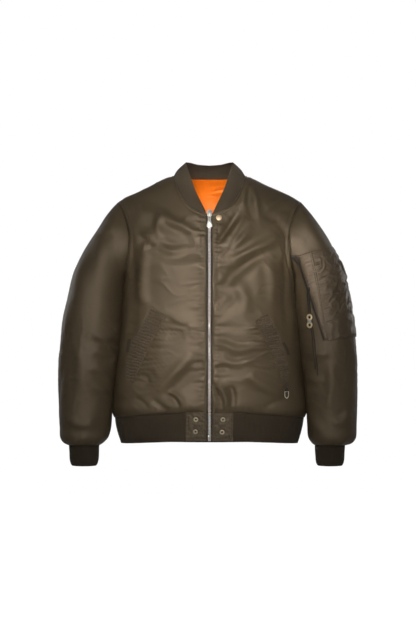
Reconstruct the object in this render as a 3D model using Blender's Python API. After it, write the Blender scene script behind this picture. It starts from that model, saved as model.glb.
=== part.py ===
"""Reversible flight jacket, filled out as if worn, with nobody in it.

The origin is between the two points where the shoulder seams meet the neck.
+Z is up, the jacket faces -Y, and +X is the wearer's left. Sizes are in
millimetres and become metres where a mesh is made.
"""
import math
from collections import namedtuple

import bmesh
import bpy
import numpy as np
from mathutils import Vector

METRES = 0.001
GAP = 0.3
# Edges sharper than these angles stay crisp on hard pieces and on cloth.
HARD_ANGLE = 30
CLOTH_ANGLE = 50

# Driving sizes of the cut.
HEM_SEAM = -596.0
HEM_SEAM_SIDE = -614.5
HEM_SEAM_BACK = -617.0
HEM_EDGE = -669.0
HEM_EDGE_SIDE = -679.0
HEM_EDGE_BACK = -684.5
HEM_SEAM_HALF = 243.0
HEM_EDGE_HALF = 225.5
HEM_SEAM_GAP = 0.5
UNDERARM = -268.0
SHOULDER_TIP_X = 231.0
SHOULDER_TIP_Z = -66.0
NECK_POINT_X = 91.0
FRONT_EDGE_X = 7.5
NECK_FRONT_Z = -101.0
SHELL = 4.0
SHELL_AT_SEAM = 1.8
RIB = 2.6
LINING = 1.0
LINING_CLEAR = 2.4

# Roundness of the level sections and of the shoulders.
SECTION_POWER = 2.4
FRONT_ROUND = 170.0
FRONT_ROUND_POWER = 2.2
BACK_ROUND = 120.0
BACK_ROUND_POWER = 2.6

# Counts of the panel grids.
SIDE_ROWS = 8
ARM_ROWS = 10
ROWS = SIDE_ROWS + ARM_ROWS
NECK_COLUMNS = 5
SHOULDER_COLUMNS = 5
COLUMNS = NECK_COLUMNS + SHOULDER_COLUMNS

Body = namedtuple("Body", "z half_width front back")
BODY = [
    Body(-617, 242.5, 106, 94),
    Body(-602, 244.5, 110, 97),
    Body(-587, 245.5, 114, 99),
    Body(-560, 244.5, 117, 99.5),
    Body(-502, 239, 120, 99),
    Body(-430, 231, 122, 101),
    Body(-350, 223, 122, 105),
    Body(-268, 216.3, 121, 111),
    Body(-240, 221, 119, 112),
    Body(-200, 238, 113, 112),
    Body(-161, 252, 107, 111),
    Body(-130, 259, 102, 109),
    Body(-95, 262, 97, 106),
    Body(0, 266, 94, 103),
    Body(30, 267, 93, 102),
]

# The knitted hem, from its free edge up to its seam.
Hem = namedtuple("Hem", "part half_width front back")
HEM = [
    Hem(0.00, 225.5, 98, 84),
    Hem(0.33, 232, 101.5, 87),
    Hem(0.66, 237.5, 105, 90),
    Hem(1.00, 241, 108.4, 92.8),
]

Shoulder = namedtuple("Shoulder", "x z")
SHOULDER = [
    Shoulder(0, 16),
    Shoulder(60, 10),
    Shoulder(91, 0),
    Shoulder(113, -8),
    Shoulder(143, -23),
    Shoulder(175, -38),
    Shoulder(213, -55),
    Shoulder(231, -66),
]

Neck = namedtuple("Neck", "part x z")
FRONT_NECK = [
    Neck(0.00, 7.5, NECK_FRONT_Z),
    Neck(0.20, 28, -95.5),
    Neck(0.40, 50, -82),
    Neck(0.60, 68, -60),
    Neck(0.80, 82, -31),
    Neck(1.00, 91, 0),
]
BACK_NECK = [
    Neck(0.00, 0, -2),
    Neck(0.25, 28, -2),
    Neck(0.50, 53, -1.6),
    Neck(0.75, 75, -1),
    Neck(1.00, 91, 0),
]

Armhole = namedtuple("Armhole", "z x")
ARMHOLE = [
    Armhole(-268, 216.3),
    Armhole(-251, 213.5),
    Armhole(-226, 208.5),
    Armhole(-193, 203),
    Armhole(-164, 201),
    Armhole(-141, 203),
    Armhole(-107, 212.5),
    Armhole(-85, 222),
    Armhole(-66, 231),
]

# Sleeve sections: the underarm and overarm points of each, and its depth.
Sleeve = namedtuple("Sleeve", "in_x in_z out_x out_z half_depth mid_y")
KeyedSleeve = namedtuple("KeyedSleeve", ("key", *Sleeve._fields))
SLEEVE = [
    Sleeve(216.3, -268, 231, -66, 76, 0),
    Sleeve(218.6, -271, 256, -96, 77, -1),
    Sleeve(219.5, -281, 280, -130, 76.5, -4),
    Sleeve(220, -297, 303, -166, 76, -8),
    Sleeve(221.3, -319, 322.5, -206, 75, -12),
    Sleeve(222.8, -346, 339.5, -251, 74, -16),
    Sleeve(225.6, -379, 350.5, -299, 72.5, -19),
    Sleeve(229.4, -418, 360.5, -352, 71, -22),
    Sleeve(233.8, -462, 368.5, -412, 69.5, -25),
    Sleeve(238.9, -508, 372.5, -474, 67.5, -28),
    Sleeve(243.8, -553, 373, -534, 65, -31),
    Sleeve(246.8, -597, 372, -590, 63, -33),
    Sleeve(249, -634, 369.5, -634, 61, -35),
    Sleeve(252, -660, 366, -660, 58, -37),
    Sleeve(259, -675, 357, -675, 51, -38),
    Sleeve(265.7, -682.5, 343.3, -682.5, 39.5, -39),
]
# The right sleeve hangs a little further out: extra at the underarm, at the overarm.
RIGHT_SWING = {"from": 2, "rows": 4, "under": 0.5, "over": 7.5, "cuff": 12.0}
SLEEVE_ROUND = 2.15
AROUND = 2 * ARM_ROWS

Cuff = namedtuple("Cuff", "z half_width half_depth")
CUFF = [
    Cuff(-682.8, 38.5, 38.0),
    Cuff(-699, 37.6, 36.4),
    Cuff(-717, 36.8, 35.4),
    Cuff(-729, 34.6, 33.2),
    Cuff(-735, 30.8, 29.6),
]
CUFF_CENTRE_X = 304.5
CUFF_CENTRE_Y = -39.0

# The neck rib: its free upper edge, from the zip to the middle of the back.
CollarTop = namedtuple("CollarTop", "part x y z")
COLLAR_TOP = [
    CollarTop(0.00, 9.0, -91, -97.5),
    CollarTop(0.10, 15.5, -88, -84.5),
    CollarTop(0.20, 23.5, -82, -68),
    CollarTop(0.32, 36, -71, -41),
    CollarTop(0.45, 47.5, -52, -9.5),
    CollarTop(0.56, 56.5, -26, 18.5),
    CollarTop(0.66, 60, -2, 34.5),
    CollarTop(0.78, 51, 22, 35.5),
    CollarTop(0.89, 29, 36, 31.5),
    CollarTop(1.00, 0, 40, 29.5),
]
COLLAR_ROWS = 3
STRIP_COLUMNS = 4
COLLAR_BULGE = 5.0

# Hand pockets: the inner (zip side) and outer edge of each ruched welt.
Welt = namedtuple("Welt", "in_x in_z out_x out_z")
WELT_RIGHT = [
    Welt(110, -357, 145, -336),
    Welt(126, -389, 157, -362),
    Welt(145, -423, 177, -395),
    Welt(164, -465, 199, -434),
    Welt(179, -497, 207, -477),
    Welt(190, -526, 208, -513),
]
WELT_LEFT = [
    Welt(115, -369, 145, -353),
    Welt(126, -394, 158, -377),
    Welt(142, -425, 175, -409),
    Welt(154, -446, 184, -439),
    Welt(167, -480, 193, -472),
    Welt(179, -517, 201, -504),
    Welt(186, -535, 195, -535),
]
LOOP_RIGHT = [(199, -414), (203, -448)]
LOOP_LEFT = [(183, -423), (197, -455)]
LOOP_WIDTH = 8.0
LOOP_LIFT = 3.3
WELT_CROWN = 1.2
WELT_PARTS = 2
LOOP_PARTS = 3
POCKET_SLIDER = (191.5, -541)
POCKET_RING_DROP = 5.5

# Zip down the front.
CHAIN_HALF = 3.8
CHAIN_FRONT = 0.8
CHAIN_BACK = 3.8
TAPE_INNER = 4.2
TAPE_OUTER = 15.0
TAPE_FRONT = 3.2
TAPE_BACK = 4.2
ZIP_BOX_HEIGHT = 15.0
SLIDER_TOP = -91.0
SLIDER_BOTTOM = -108.0
CHAIN_TOP = -101.2
PULL_LENGTH = 36.5
PULL_AXIS_OUT = 4.6
PULL_AXIS_UP = -102.5
SNAP_AT = (23.5, -112.0)
# Turned profiles, as (radius, outward) points.
SNAP_PROFILE = [(0, 3.0), (3.4, 2.7), (5.8, 1.7), (7.0, 0.3), (7.0, 0.0), (0, 0.0)]
EYELET_PROFILE = [(2.6, 1.2), (4.4, 1.5), (6.0, 0.9), (6.0, 0.35), (3.8, 0.35), (3.8, -3.3), (2.6, -3.3)]
EYELET_HOLE = [(0, 6), (4.2, 6), (4.2, -8), (0, -8)]
# Front slider, in side view as (outward, up) points from the pull's axis.
SLIDER_HALF_WIDTH = 3.4
SLIDER_FACE_FRONT = 2.4
SLIDER_WING_BACK = -6.4
SLIDER_WING_FRONT = -4.9
BAIL = [(1.5, -6.2), (6.3, -5.2), (7.3, -3.0), (7.3, 3.0), (6.3, 5.2), (1.5, 6.2)]
BAIL_GAP = [(2.0, -3.4), (5.85, -2.8), (5.85, 2.8), (2.0, 3.4)]
BAIL_HALF_WIDTH = 1.1
# Pull tab outline on the wearer's left, as (across, up) points from its axis.
PULL_SIDE = [
    (4.3, 1.0),
    (4.3, -12.0),
    (3.6, -16.0),
    (5.0, -24.0),
    (7.0, -31.0),
    (7.0, -33.0),
    (4.5, 1.0 - PULL_LENGTH),
]
PULL_HALF_THICK = 0.7
PULL_WINDOW = (-2.6, 2.6, -8.6, -0.9)
PULL_SLOT = (-3.6, 3.6, -33.0, -30.6)
# Slider and ring at the foot of the hand pocket zip on the wearer's left.
POCKET_SLIDER_FACE = [(-4, -4.2), (4, -4.2), (4.6, 0), (3, 5), (-3, 5), (-4.6, 0)]
POCKET_BAIL = [(2.0, -8.6), (5.6, -8.6), (5.6, -1.4), (2.0, -0.4)]
POCKET_BAIL_HALF_WIDTH = 1.1
POCKET_BAIL_GAP = [(2.2, -7.2), (4.4, -7.2), (4.4, -3.8), (2.2, -3.8)]
RING_SIDE = [(6.4, 0.75), (6.4, -9.5), (4.6, -14.5), (0, -17.0)]
RING_HOLE_SIDE = [(4.6, -0.75), (4.6, -9.2), (3.2, -12.8), (0, -14.6)]
RING_HALF_THICK = 0.75
# A cutting tool reaches this far either side of what it cuts.
CUT_REACH = 3.0
EYELETS = {
    "eyelet_right_upper": (-34.0, -615.0),
    "eyelet_right_lower": (-35.0, -645.5),
    "eyelet_left_upper": (33.6, -615.0),
    "eyelet_left_lower": (31.4, -646.5),
}
TAB_WIDTH = 51.5
TAB_COLUMNS = 4
HEM_STEPS = 9
HEM_PARTS = (0.0, 0.33, 0.66, 1.0)

# Sleeve pocket on the wearer's left arm, as places along and round the sleeve.
POCKET_TOP_FRONT = (223.5, -205.0)
POCKET_FOOT_FRONT = (289.0, -420.0)
POCKET_TOP_OUT = 3.35
POCKET_FOOT_OUT = 7.95
POCKET_WRAP = 1.2 * math.pi
POCKET_OUTLINE_U = 0.76
PATCH_LIFT = 4.7
Patch = namedtuple("Patch", "corners base thick steps")
PATCHES = {
    "sleeve_pocket": Patch((((0, 0), (1, 0)), ((0, 1), (1, 1))), 1.5, 2.2, (10, 11)),
    "sleeve_pocket_band": Patch((((0.09, 0.79), (1, 0.79)), ((0.06, 1), (1, 1))), PATCH_LIFT, 1.0, (3, 11)),
    "sleeve_pocket_flap": Patch(
        (((0, 0.005), (0.19, 0.005)), ((0, 0.98), (0.04, 0.98))), PATCH_LIFT, 1.0, (10, 3)
    ),
    "pen_slot": Patch((((0.66, 0.2), (0.86, 0.2)), ((0.66, 0.4), (0.86, 0.4))), PATCH_LIFT, 3.0, (3, 4)),
}
SLEEVE_SLIDER = (251.3, -279.0)
SLEEVE_SLIDER_FACE = [(-4, -5), (4, -5), (4.4, 0), (3, 6), (-3, 6), (-4.4, 0)]
# The link on the lace: where it lies, each ring's radius and distance from its middle.
LINK = (253.6, -369.5)
LINK_RADIUS = 8.4
LINK_SPREAD = 9.6
LACE_RADIUS = 1.5
LACE_STEP = 7.5
Lace = namedtuple("Lace", "x z lift")
LACE_A = [
    Lace(249.5, -285.5, 7.9),
    Lace(248.8, -307, 7.6),
    Lace(248.8, -325, 4.2),
    Lace(249.5, -342, 2.9),
    Lace(252.5, -370, 2.8),
    Lace(257.5, -400, 2.6),
    Lace(262.0, -440, 2.4),
    Lace(266.0, -491, 2.4),
]
LACE_B = [
    Lace(253.0, -285.5, 7.9),
    Lace(252.3, -307, 7.6),
    Lace(252.4, -325, 4.4),
    Lace(253.2, -342, 2.9),
    Lace(256.2, -370, 2.8),
    Lace(261.5, -400, 2.6),
    Lace(267.0, -445, 2.4),
    Lace(272.0, -506, 2.4),
]


# ---------------------------------------------------------------- helpers
def smooth(rows, column, key, at):
    """Value of a table's column at a key, on a curve through its rows."""
    keys = [getattr(row, key) for row in rows]
    values = [getattr(row, column) for row in rows]
    if keys[0] > keys[-1]:
        keys.reverse()
        values.reverse()
    at = min(max(at, keys[0]), keys[-1])
    slot = min(max(int(np.searchsorted(keys, at)) - 1, 0), len(keys) - 2)

    def slope(i):
        if i in (0, len(keys) - 1):
            j = min(max(i, 1), len(keys) - 1)
            return (values[j] - values[j - 1]) / (keys[j] - keys[j - 1])
        left = (values[i] - values[i - 1]) / (keys[i] - keys[i - 1])
        right = (values[i + 1] - values[i]) / (keys[i + 1] - keys[i])
        if left * right <= 0:
            return 0.0
        return 2 * left * right / (left + right)

    span = keys[slot + 1] - keys[slot]
    t = (at - keys[slot]) / span
    a, b = values[slot], values[slot + 1]
    ma, mb = slope(slot) * span, slope(slot + 1) * span
    return (
        a * (2 * t**3 - 3 * t**2 + 1)
        + ma * (t**3 - 2 * t**2 + t)
        + b * (3 * t**2 - 2 * t**3)
        + mb * (t**3 - t**2)
    )


def rounded(part, power):
    """How far a superellipse of unit radii reaches at a part of its width."""
    part = min(abs(part), 1.0)
    return (1.0 - part**power) ** (1.0 / power)


def ease(t):
    """Smooth step from 0 to 1."""
    t = min(max(t, 0.0), 1.0)
    return t * t * (3 - 2 * t)


def unit(v):
    """Vector of length one, or the vector itself where it is nothing."""
    length = np.linalg.norm(v)
    return v / length if length > 1e-9 else v


def colour_material(name, colour, roughness, metallic=0.0):
    """A plain finish."""
    material = bpy.data.materials.new(name)
    material.use_nodes = True
    shader = material.node_tree.nodes["Principled BSDF"]
    shader.inputs["Base Color"].default_value = (*colour, 1.0)
    shader.inputs["Roughness"].default_value = roughness
    shader.inputs["Metallic"].default_value = metallic
    return material


def add_object(name, mesh, material, origin=(0, 0, 0), smooth_angle=CLOTH_ANGLE):
    """Put a mesh in the scene, shaded smooth except at its sharp edges."""
    thing = bpy.data.objects.new(name, mesh)
    bpy.context.collection.objects.link(thing)
    mesh.materials.append(material)
    mesh.shade_smooth()
    mesh.set_sharp_from_angle(angle=math.radians(smooth_angle))
    thing.location = Vector(origin) * METRES
    return thing


def closed_mesh(name, points, faces, origin=(0, 0, 0)):
    """Mesh of one closed body from points in millimetres, faces pointing out."""
    shift = np.array(origin, float)
    mesh = bpy.data.meshes.new(name)
    mesh.from_pydata([tuple((np.array(p) - shift) * METRES) for p in points], [], faces)
    bm = bmesh.new()
    bm.from_mesh(mesh)
    bmesh.ops.recalc_face_normals(bm, faces=bm.faces)
    if bm.calc_volume(signed=True) < 0:
        bmesh.ops.reverse_faces(bm, faces=bm.faces)
    bm.to_mesh(mesh)
    bm.free()
    return mesh


# ---------------------------------------------------------------- body form
def body_y(x, z, side):
    """Depth of the body at x and z; side is -1 for the front, 1 for the back."""
    half = smooth(BODY, "half_width", "z", z)
    depth = smooth(BODY, "front" if side < 0 else "back", "z", z)
    reach = FRONT_ROUND if side < 0 else BACK_ROUND
    power = FRONT_ROUND_POWER if side < 0 else BACK_ROUND_POWER
    top = smooth(SHOULDER, "z", "x", abs(x))
    drop = min(max((top - z) / reach, 0.0), 1.0)
    return side * depth * rounded(x / half, SECTION_POWER) * rounded(1 - drop, power)


def hem_y(x, part, side):
    """Depth of the knitted hem at x, a part of the way up from its edge."""
    half = smooth(HEM, "half_width", "part", part)
    depth = smooth(HEM, "front" if side < 0 else "back", "part", part)
    return side * depth * rounded(x / half, SECTION_POWER)


def hem_z(x, side):
    """Height of the seam between a panel and the hem rib."""
    middle = HEM_SEAM if side < 0 else HEM_SEAM_BACK
    return middle + (HEM_SEAM_SIDE - middle) * min(abs(x) / HEM_SEAM_HALF, 1.0) ** 2


def hem_level(x, part, side):
    """Height on the knitted hem, a part of the way up from its edge."""
    middle = HEM_EDGE if side < 0 else HEM_EDGE_BACK
    edge = middle + (HEM_EDGE_SIDE - middle) * min(abs(x) / HEM_EDGE_HALF, 1.0) ** 2
    return edge + (hem_z(x, side) - HEM_SEAM_GAP - edge) * part


def front_y(x, z):
    """Depth of the front, on the panel or on the hem below its seam."""
    seam, edge = hem_z(x, -1), hem_level(x, 0, -1)
    if z > seam - 0.2:
        return body_y(x, z, -1)
    return hem_y(x, (z - edge) / (seam - edge), -1)


def panel_flat(side, row, column):
    """Place (x, z) of a half panel's grid point, seen from the front."""
    start = FRONT_EDGE_X if side < 0 else 0.0
    neck = FRONT_NECK if side < 0 else BACK_NECK
    rise = math.sin(0.5 * math.pi * row / ROWS)
    across = math.sin(0.5 * math.pi * column / COLUMNS)
    lift = rise**3
    hem_side = smooth(BODY, "half_width", "z", HEM_SEAM_SIDE)
    foot_x = start + (hem_side - start) * across
    foot = np.array([foot_x, hem_z(foot_x, side)])
    if column <= NECK_COLUMNS:
        part = column / NECK_COLUMNS
        top = np.array([smooth(neck, "x", "part", part), smooth(neck, "z", "part", part)])
    else:
        part = (column - NECK_COLUMNS) / SHOULDER_COLUMNS
        x = NECK_POINT_X + (SHOULDER_TIP_X - NECK_POINT_X) * part
        top = np.array([x, smooth(SHOULDER, "z", "x", x)])
    hem_middle = hem_z(start, side)
    middle_z = hem_middle + (neck[0].z - hem_middle) * rise
    middle = np.array([start, middle_z])
    if row <= SIDE_ROWS:
        climb = rise / math.sin(0.5 * math.pi * SIDE_ROWS / ROWS)
        z = HEM_SEAM_SIDE + (UNDERARM - HEM_SEAM_SIDE) * climb
        edge = np.array([smooth(BODY, "half_width", "z", z), z])
    else:
        turn = math.pi * (row - SIDE_ROWS) / ARM_ROWS
        mid, half = 0.5 * (UNDERARM + SHOULDER_TIP_Z), 0.5 * (SHOULDER_TIP_Z - UNDERARM)
        z = mid - half * math.cos(turn)
        edge = np.array([smooth(ARMHOLE, "x", "z", z), z])
    corner = {
        (0, 0): np.array([start, hem_middle]),
        (0, 1): np.array([hem_side, HEM_SEAM_SIDE]),
        (1, 0): np.array([start, neck[0].z]),
        (1, 1): np.array([SHOULDER_TIP_X, SHOULDER_TIP_Z]),
    }
    low = (1 - across) * corner[0, 0] + across * corner[0, 1]
    high = (1 - across) * corner[1, 0] + across * corner[1, 1]
    flat = (1 - lift) * foot + lift * top + (1 - across) * middle + across * edge
    return flat - ((1 - lift) * low + lift * high)


def panel_point(side, row, column):
    """Point of a half panel's outer face, for the wearer's left half."""
    x, z = panel_flat(side, row, column)
    on_side_seam = column == COLUMNS and row <= SIDE_ROWS
    on_shoulder = row == ROWS and column >= NECK_COLUMNS
    y = 0.0 if on_side_seam or on_shoulder else body_y(x, z, side)
    return np.array([x, y, z])


def half_grid(side):
    """Outer points of a half panel, rows from the hem up, columns to the side."""
    grid = np.zeros((ROWS + 1, COLUMNS + 1, 3))
    for row in range(ROWS + 1):
        for column in range(COLUMNS + 1):
            grid[row, column] = panel_point(side, row, column)
    return grid


def grid_normals(grid, away, closed):
    """Unit normals of a grid of points, turned to the side away from a point."""
    rows, columns = grid.shape[:2]
    normals = np.zeros_like(grid)
    for r in range(rows):
        up = grid[min(r + 1, rows - 1)] - grid[max(r - 1, 0)]
        for c in range(columns):
            if closed:
                along = grid[r, (c + 1) % columns] - grid[r, c - 1]
            else:
                along = grid[r, min(c + 1, columns - 1)] - grid[r, max(c - 1, 0)]
            normal = unit(np.cross(along, up[c]))
            if normal @ (grid[r, c] - away(grid[r, c])) < 0:
                normal = -normal
            normals[r, c] = normal
    return normals


def body_middle(point):
    """Point inside the body that a panel faces away from."""
    return np.array([0.55 * point[0], 0.0, min(point[2], -150.0) - 40.0])


def wall(name, outer, inner, closed, material, split=False):
    """Closed shell between two grids of points; split cuts both on the same diagonals."""
    rows, columns = outer.shape[:2]
    points = list(outer.reshape(-1, 3)) + list(inner.reshape(-1, 3))
    back = rows * columns
    faces = []
    last = columns if closed else columns - 1
    for r in range(rows - 1):
        for c in range(last):
            d = (c + 1) % columns
            quad = [r * columns + c, r * columns + d, (r + 1) * columns + d, (r + 1) * columns + c]
            for facet in ([quad[:3], [quad[0], *quad[2:]]] if split else [quad]):
                faces.append(facet)
                faces.append([back + i for i in reversed(facet)])
    for c in range(last):
        d = (c + 1) % columns
        for r in (0, rows - 1):
            here, there = r * columns + c, r * columns + d
            faces.append([here, back + here, back + there, there])
    if not closed:
        for r in range(rows - 1):
            for c in (0, columns - 1):
                low, high = r * columns + c, (r + 1) * columns + c
                faces.append([low, high, back + high, back + low])
    return add_object(name, closed_mesh(name, points, faces), material)


def trim(outer, inner, rows=(0, 0), columns=(0, 0)):
    """Draw the edges of a wall back from its seams by the given lengths."""
    for grid in (outer, inner):
        if rows[0]:
            grid[0] += rows[0] * np.array([unit(b - a) for a, b in zip(grid[0], grid[1])])
        if rows[1]:
            grid[-1] += rows[1] * np.array([unit(b - a) for a, b in zip(grid[-1], grid[-2])])
        if columns[0]:
            grid[:, 0] += columns[0] * np.array([unit(b - a) for a, b in zip(grid[:, 0], grid[:, 1])])
        if columns[1]:
            grid[:, -1] += columns[1] * np.array([unit(b - a) for a, b in zip(grid[:, -1], grid[:, -2])])


def shell_depths(grid, thin_columns):
    """Wall thickness over a panel: thin at its seams, full over the padding."""
    rows, columns = grid.shape[:2]
    depths = np.zeros((rows, columns))
    for r in range(rows):
        for c in range(columns):
            near = [np.linalg.norm(grid[r, c] - grid[0, c]), np.linalg.norm(grid[r, c] - grid[-1, c])]
            near += [np.linalg.norm(grid[r, c] - grid[r, e]) for e in thin_columns]
            depths[r, c] = SHELL_AT_SEAM + (SHELL - SHELL_AT_SEAM) * ease(min(near) / 45.0)
    return depths


def seam_directions(side):
    """Normals along a half panel's side seam and shoulder seam, level in y."""
    side_normals, shoulder_normals = {}, {}
    step = 1.0
    for row in range(SIDE_ROWS + 1):
        z = panel_flat(side, row, COLUMNS)[1]
        low, high = (smooth(BODY, "half_width", "z", z + d) for d in (-step, step))
        side_normals[row] = unit(np.array([1.0, 0.0, -(high - low) / (2 * step)]))
    for column in range(NECK_COLUMNS, COLUMNS + 1):
        x = panel_flat(side, ROWS, column)[0]
        low, high = (smooth(SHOULDER, "z", "x", x + d) for d in (-step, step))
        shoulder_normals[column] = unit(np.array([-(high - low) / (2 * step), 0.0, 1.0]))
    return side_normals, shoulder_normals


def half_panel(side):
    """Outer points, normals and wall depths of a half panel."""
    grid = half_grid(side)
    normals = grid_normals(grid, body_middle, closed=False)
    side_normals, shoulder_normals = seam_directions(side)
    for row, normal in side_normals.items():
        normals[row, -1] = normal
    for column, normal in shoulder_normals.items():
        normals[-1, column] = normal
    thin = (COLUMNS, 0) if side < 0 else (COLUMNS,)
    return grid, normals, shell_depths(grid, thin)


# ---------------------------------------------------------------- sleeve form
def sleeve_rows(sign):
    """Section table of one sleeve; sign is 1 for the wearer's left."""
    rows = []
    for i, row in enumerate(SLEEVE):
        swing = ease((i - RIGHT_SWING["from"]) / RIGHT_SWING["rows"]) if sign < 0 else 0.0
        under, over = RIGHT_SWING["under"] * swing, RIGHT_SWING["over"] * swing
        if sign < 0 and i > len(SLEEVE) - 4:
            late = ease((i - (len(SLEEVE) - 4)) / 3.0)
            under += (RIGHT_SWING["cuff"] - under) * late
            over += (RIGHT_SWING["cuff"] - over) * late
        rows.append(row._replace(in_x=row.in_x + under, out_x=row.out_x + over))
    return rows


def sleeve_section(rows, s):
    """Section of a sleeve at place s, a whole number at each table row."""
    s = min(max(s, 0.0), len(rows) - 1.0)
    table = [KeyedSleeve(i, *row) for i, row in enumerate(rows)]
    return Sleeve(*(smooth(table, field, "key", s) for field in Sleeve._fields))


def sleeve_point(rows, s, turn):
    """Point of a sleeve's outer face: turn 0 is the underarm, pi/2 the front."""
    section = sleeve_section(rows, s)
    low = np.array([section.in_x, section.mid_y, section.in_z])
    high = np.array([section.out_x, section.mid_y, section.out_z])
    c, w = math.cos(turn), math.sin(turn)
    along = -math.copysign(abs(c) ** (2 / SLEEVE_ROUND), c)
    deep = math.copysign(abs(w) ** (2 / SLEEVE_ROUND), w)
    depth = np.array([0.0, -section.half_depth * deep, 0.0])
    return 0.5 * (low + high) + 0.5 * (high - low) * along + depth


def sleeve_place(rows, x, z):
    """Place (s, turn) on the front of a sleeve that is seen at x and z."""
    def off(s):
        section = sleeve_section(rows, s)
        dx, dz = section.out_x - section.in_x, section.out_z - section.in_z
        return dx * (z - section.in_z) - dz * (x - section.in_x)

    low, high = 0.0, len(rows) - 1.0
    for _ in range(40):
        s = 0.5 * (low + high)
        if off(s) < 0:
            low = s
        else:
            high = s
    section = sleeve_section(rows, s)
    span = np.array([section.out_x - section.in_x, section.out_z - section.in_z])
    part = np.array([x - section.in_x, z - section.in_z]) @ span / (span @ span)
    along = min(max(2 * part - 1, -1.0), 1.0)
    return s, math.acos(-math.copysign(abs(along) ** (SLEEVE_ROUND / 2), along))


def sleeve_lifted(rows, s, turn, lift):
    """Point above a sleeve's outer face, with the face's normal."""
    step = 0.02
    along = sleeve_point(rows, s + step, turn) - sleeve_point(rows, s - step, turn)
    around = sleeve_point(rows, s, turn + step) - sleeve_point(rows, s, turn - step)
    normal = unit(np.cross(along, around))
    section = sleeve_section(rows, s)
    middle = np.array([0.5 * (section.in_x + section.out_x), section.mid_y,
                       0.5 * (section.in_z + section.out_z)])
    point = sleeve_point(rows, s, turn)
    if normal @ (point - middle) < 0:
        normal = -normal
    return point + lift * normal, normal


def mirrored(points):
    """The same points on the wearer's right side."""
    return points * np.array([-1.0, 1.0, 1.0])


# ---------------------------------------------------------------- panels
def build_fronts(material):
    """The two front panels."""
    for name, sign in (("front_left", 1), ("front_right", -1)):
        grid, normals, depths = half_panel(-1)
        outer = grid.copy()
        inner = grid - normals * depths[..., None]
        trim(outer, inner, rows=(GAP, 0.4), columns=(0, 0.15))
        outer[-1, NECK_COLUMNS:, 1] = -0.5 * GAP
        inner[-1, NECK_COLUMNS:, 1] = -0.5 * GAP
        outer[: SIDE_ROWS + 1, -1, 1] = -0.5 * GAP
        inner[: SIDE_ROWS + 1, -1, 1] = -0.5 * GAP
        if sign < 0:
            outer, inner = mirrored(outer), mirrored(inner)
        wall(name, outer, inner, False, material)


def back_grids():
    """Outer and inner points of the whole back, from the right side to the left."""
    grid, normals, depths = half_panel(1)
    normals[:, 0, 0] = 0.0
    normals[:, 0] = [unit(n) for n in normals[:, 0]]
    inner = grid - normals * depths[..., None]
    outer = grid.copy()
    trim(outer, inner, rows=(GAP, 0.4), columns=(0, 0.15))
    outer[-1, NECK_COLUMNS:, 1] = 0.5 * GAP
    inner[-1, NECK_COLUMNS:, 1] = 0.5 * GAP
    outer[: SIDE_ROWS + 1, -1, 1] = 0.5 * GAP
    inner[: SIDE_ROWS + 1, -1, 1] = 0.5 * GAP
    whole = [np.concatenate([mirrored(g[:, :0:-1]), g], axis=1) for g in (outer, inner)]
    return whole[0], whole[1]


def build_back(material):
    """The back, cut in one piece."""
    outer, inner = back_grids()
    wall("back", outer, inner, False, material)


def build_lining(material):
    """The bright lining of the back, inside the back's own wall."""
    _, inner = back_grids()
    normals = grid_normals(inner, body_middle, closed=False)
    rows = range(1, ROWS, 2)
    columns = range(1, inner.shape[1] - 1, 2)
    face = inner[np.ix_(rows, columns)]
    away = normals[np.ix_(rows, columns)]
    outer = face - away * LINING_CLEAR
    wall("lining_back", outer, outer - away * LINING, False, material, split=True)


def armhole_loop(sign):
    """Armhole edge points, front edge up and back edge down, with the panels' normals."""
    front, front_normals, _ = half_panel(-1)
    back, back_normals, _ = half_panel(1)
    loop, normals = [], []
    for i in range(AROUND):
        if i <= ARM_ROWS:
            row, grid, source = SIDE_ROWS + i, front, front_normals
        else:
            row, grid, source = SIDE_ROWS + AROUND - i, back, back_normals
        loop.append(grid[row, -1])
        normals.append(source[row, -1])
    loop, normals = np.array(loop), np.array(normals)
    return (loop, normals) if sign > 0 else (mirrored(loop), mirrored(normals))


def build_sleeve(name, sign, material):
    """One sleeve, cut in one piece, from the armhole to the cuff seam."""
    rows = sleeve_rows(sign)
    grid = np.zeros((len(rows), AROUND, 3))
    for s in range(1, len(rows)):
        for i in range(AROUND):
            grid[s, i] = sleeve_point(rows, s, 2 * math.pi * i / AROUND)
    if sign < 0:
        grid = mirrored(grid)
    grid[0], panel_normals = armhole_loop(sign)
    centres = grid.mean(axis=1)

    def middle(point):
        return centres[int(np.argmin([np.abs(ring - point).sum(axis=1).min() for ring in grid]))]

    normals = grid_normals(grid, middle, closed=True)
    depths = np.full((len(rows), AROUND), SHELL)
    depths[0], depths[1] = SHELL_AT_SEAM, 3.0
    inner = grid - normals * depths[..., None]
    for i in range(AROUND):
        meet = unit(normals[0, i] + panel_normals[i])
        share = ease((normals[0, i] @ panel_normals[i] + 0.2) / 0.7)
        turned = unit((1 - share) * normals[0, i] + share * meet)
        inner[0, i] = grid[0, i] - turned * SHELL_AT_SEAM
    foot = centres[-1]
    inner[-1] = grid[-1] + 2.2 * np.array([unit((foot - p) * [1, 1, 0]) for p in grid[-1]])
    outer = grid.copy()
    trim(outer, inner, rows=(0.35, 0))
    wall(name, outer, inner, True, material)


def build_cuff(name, sign, material):
    """Ribbed cuff below a sleeve."""
    centre_x = sign * CUFF_CENTRE_X - (RIGHT_SWING["cuff"] if sign < 0 else 0)
    grids = []
    for inset in (0.0, RIB):
        grid = np.zeros((len(CUFF), AROUND, 3))
        for r, row in enumerate(CUFF):
            for i in range(AROUND):
                turn = 2 * math.pi * i / AROUND
                grid[r, i] = (
                    centre_x + (row.half_width - inset) * math.cos(turn),
                    CUFF_CENTRE_Y + (row.half_depth - inset) * math.sin(turn),
                    row.z,
                )
        grids.append(grid)
    wall(name, grids[0], grids[1], True, material)


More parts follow.
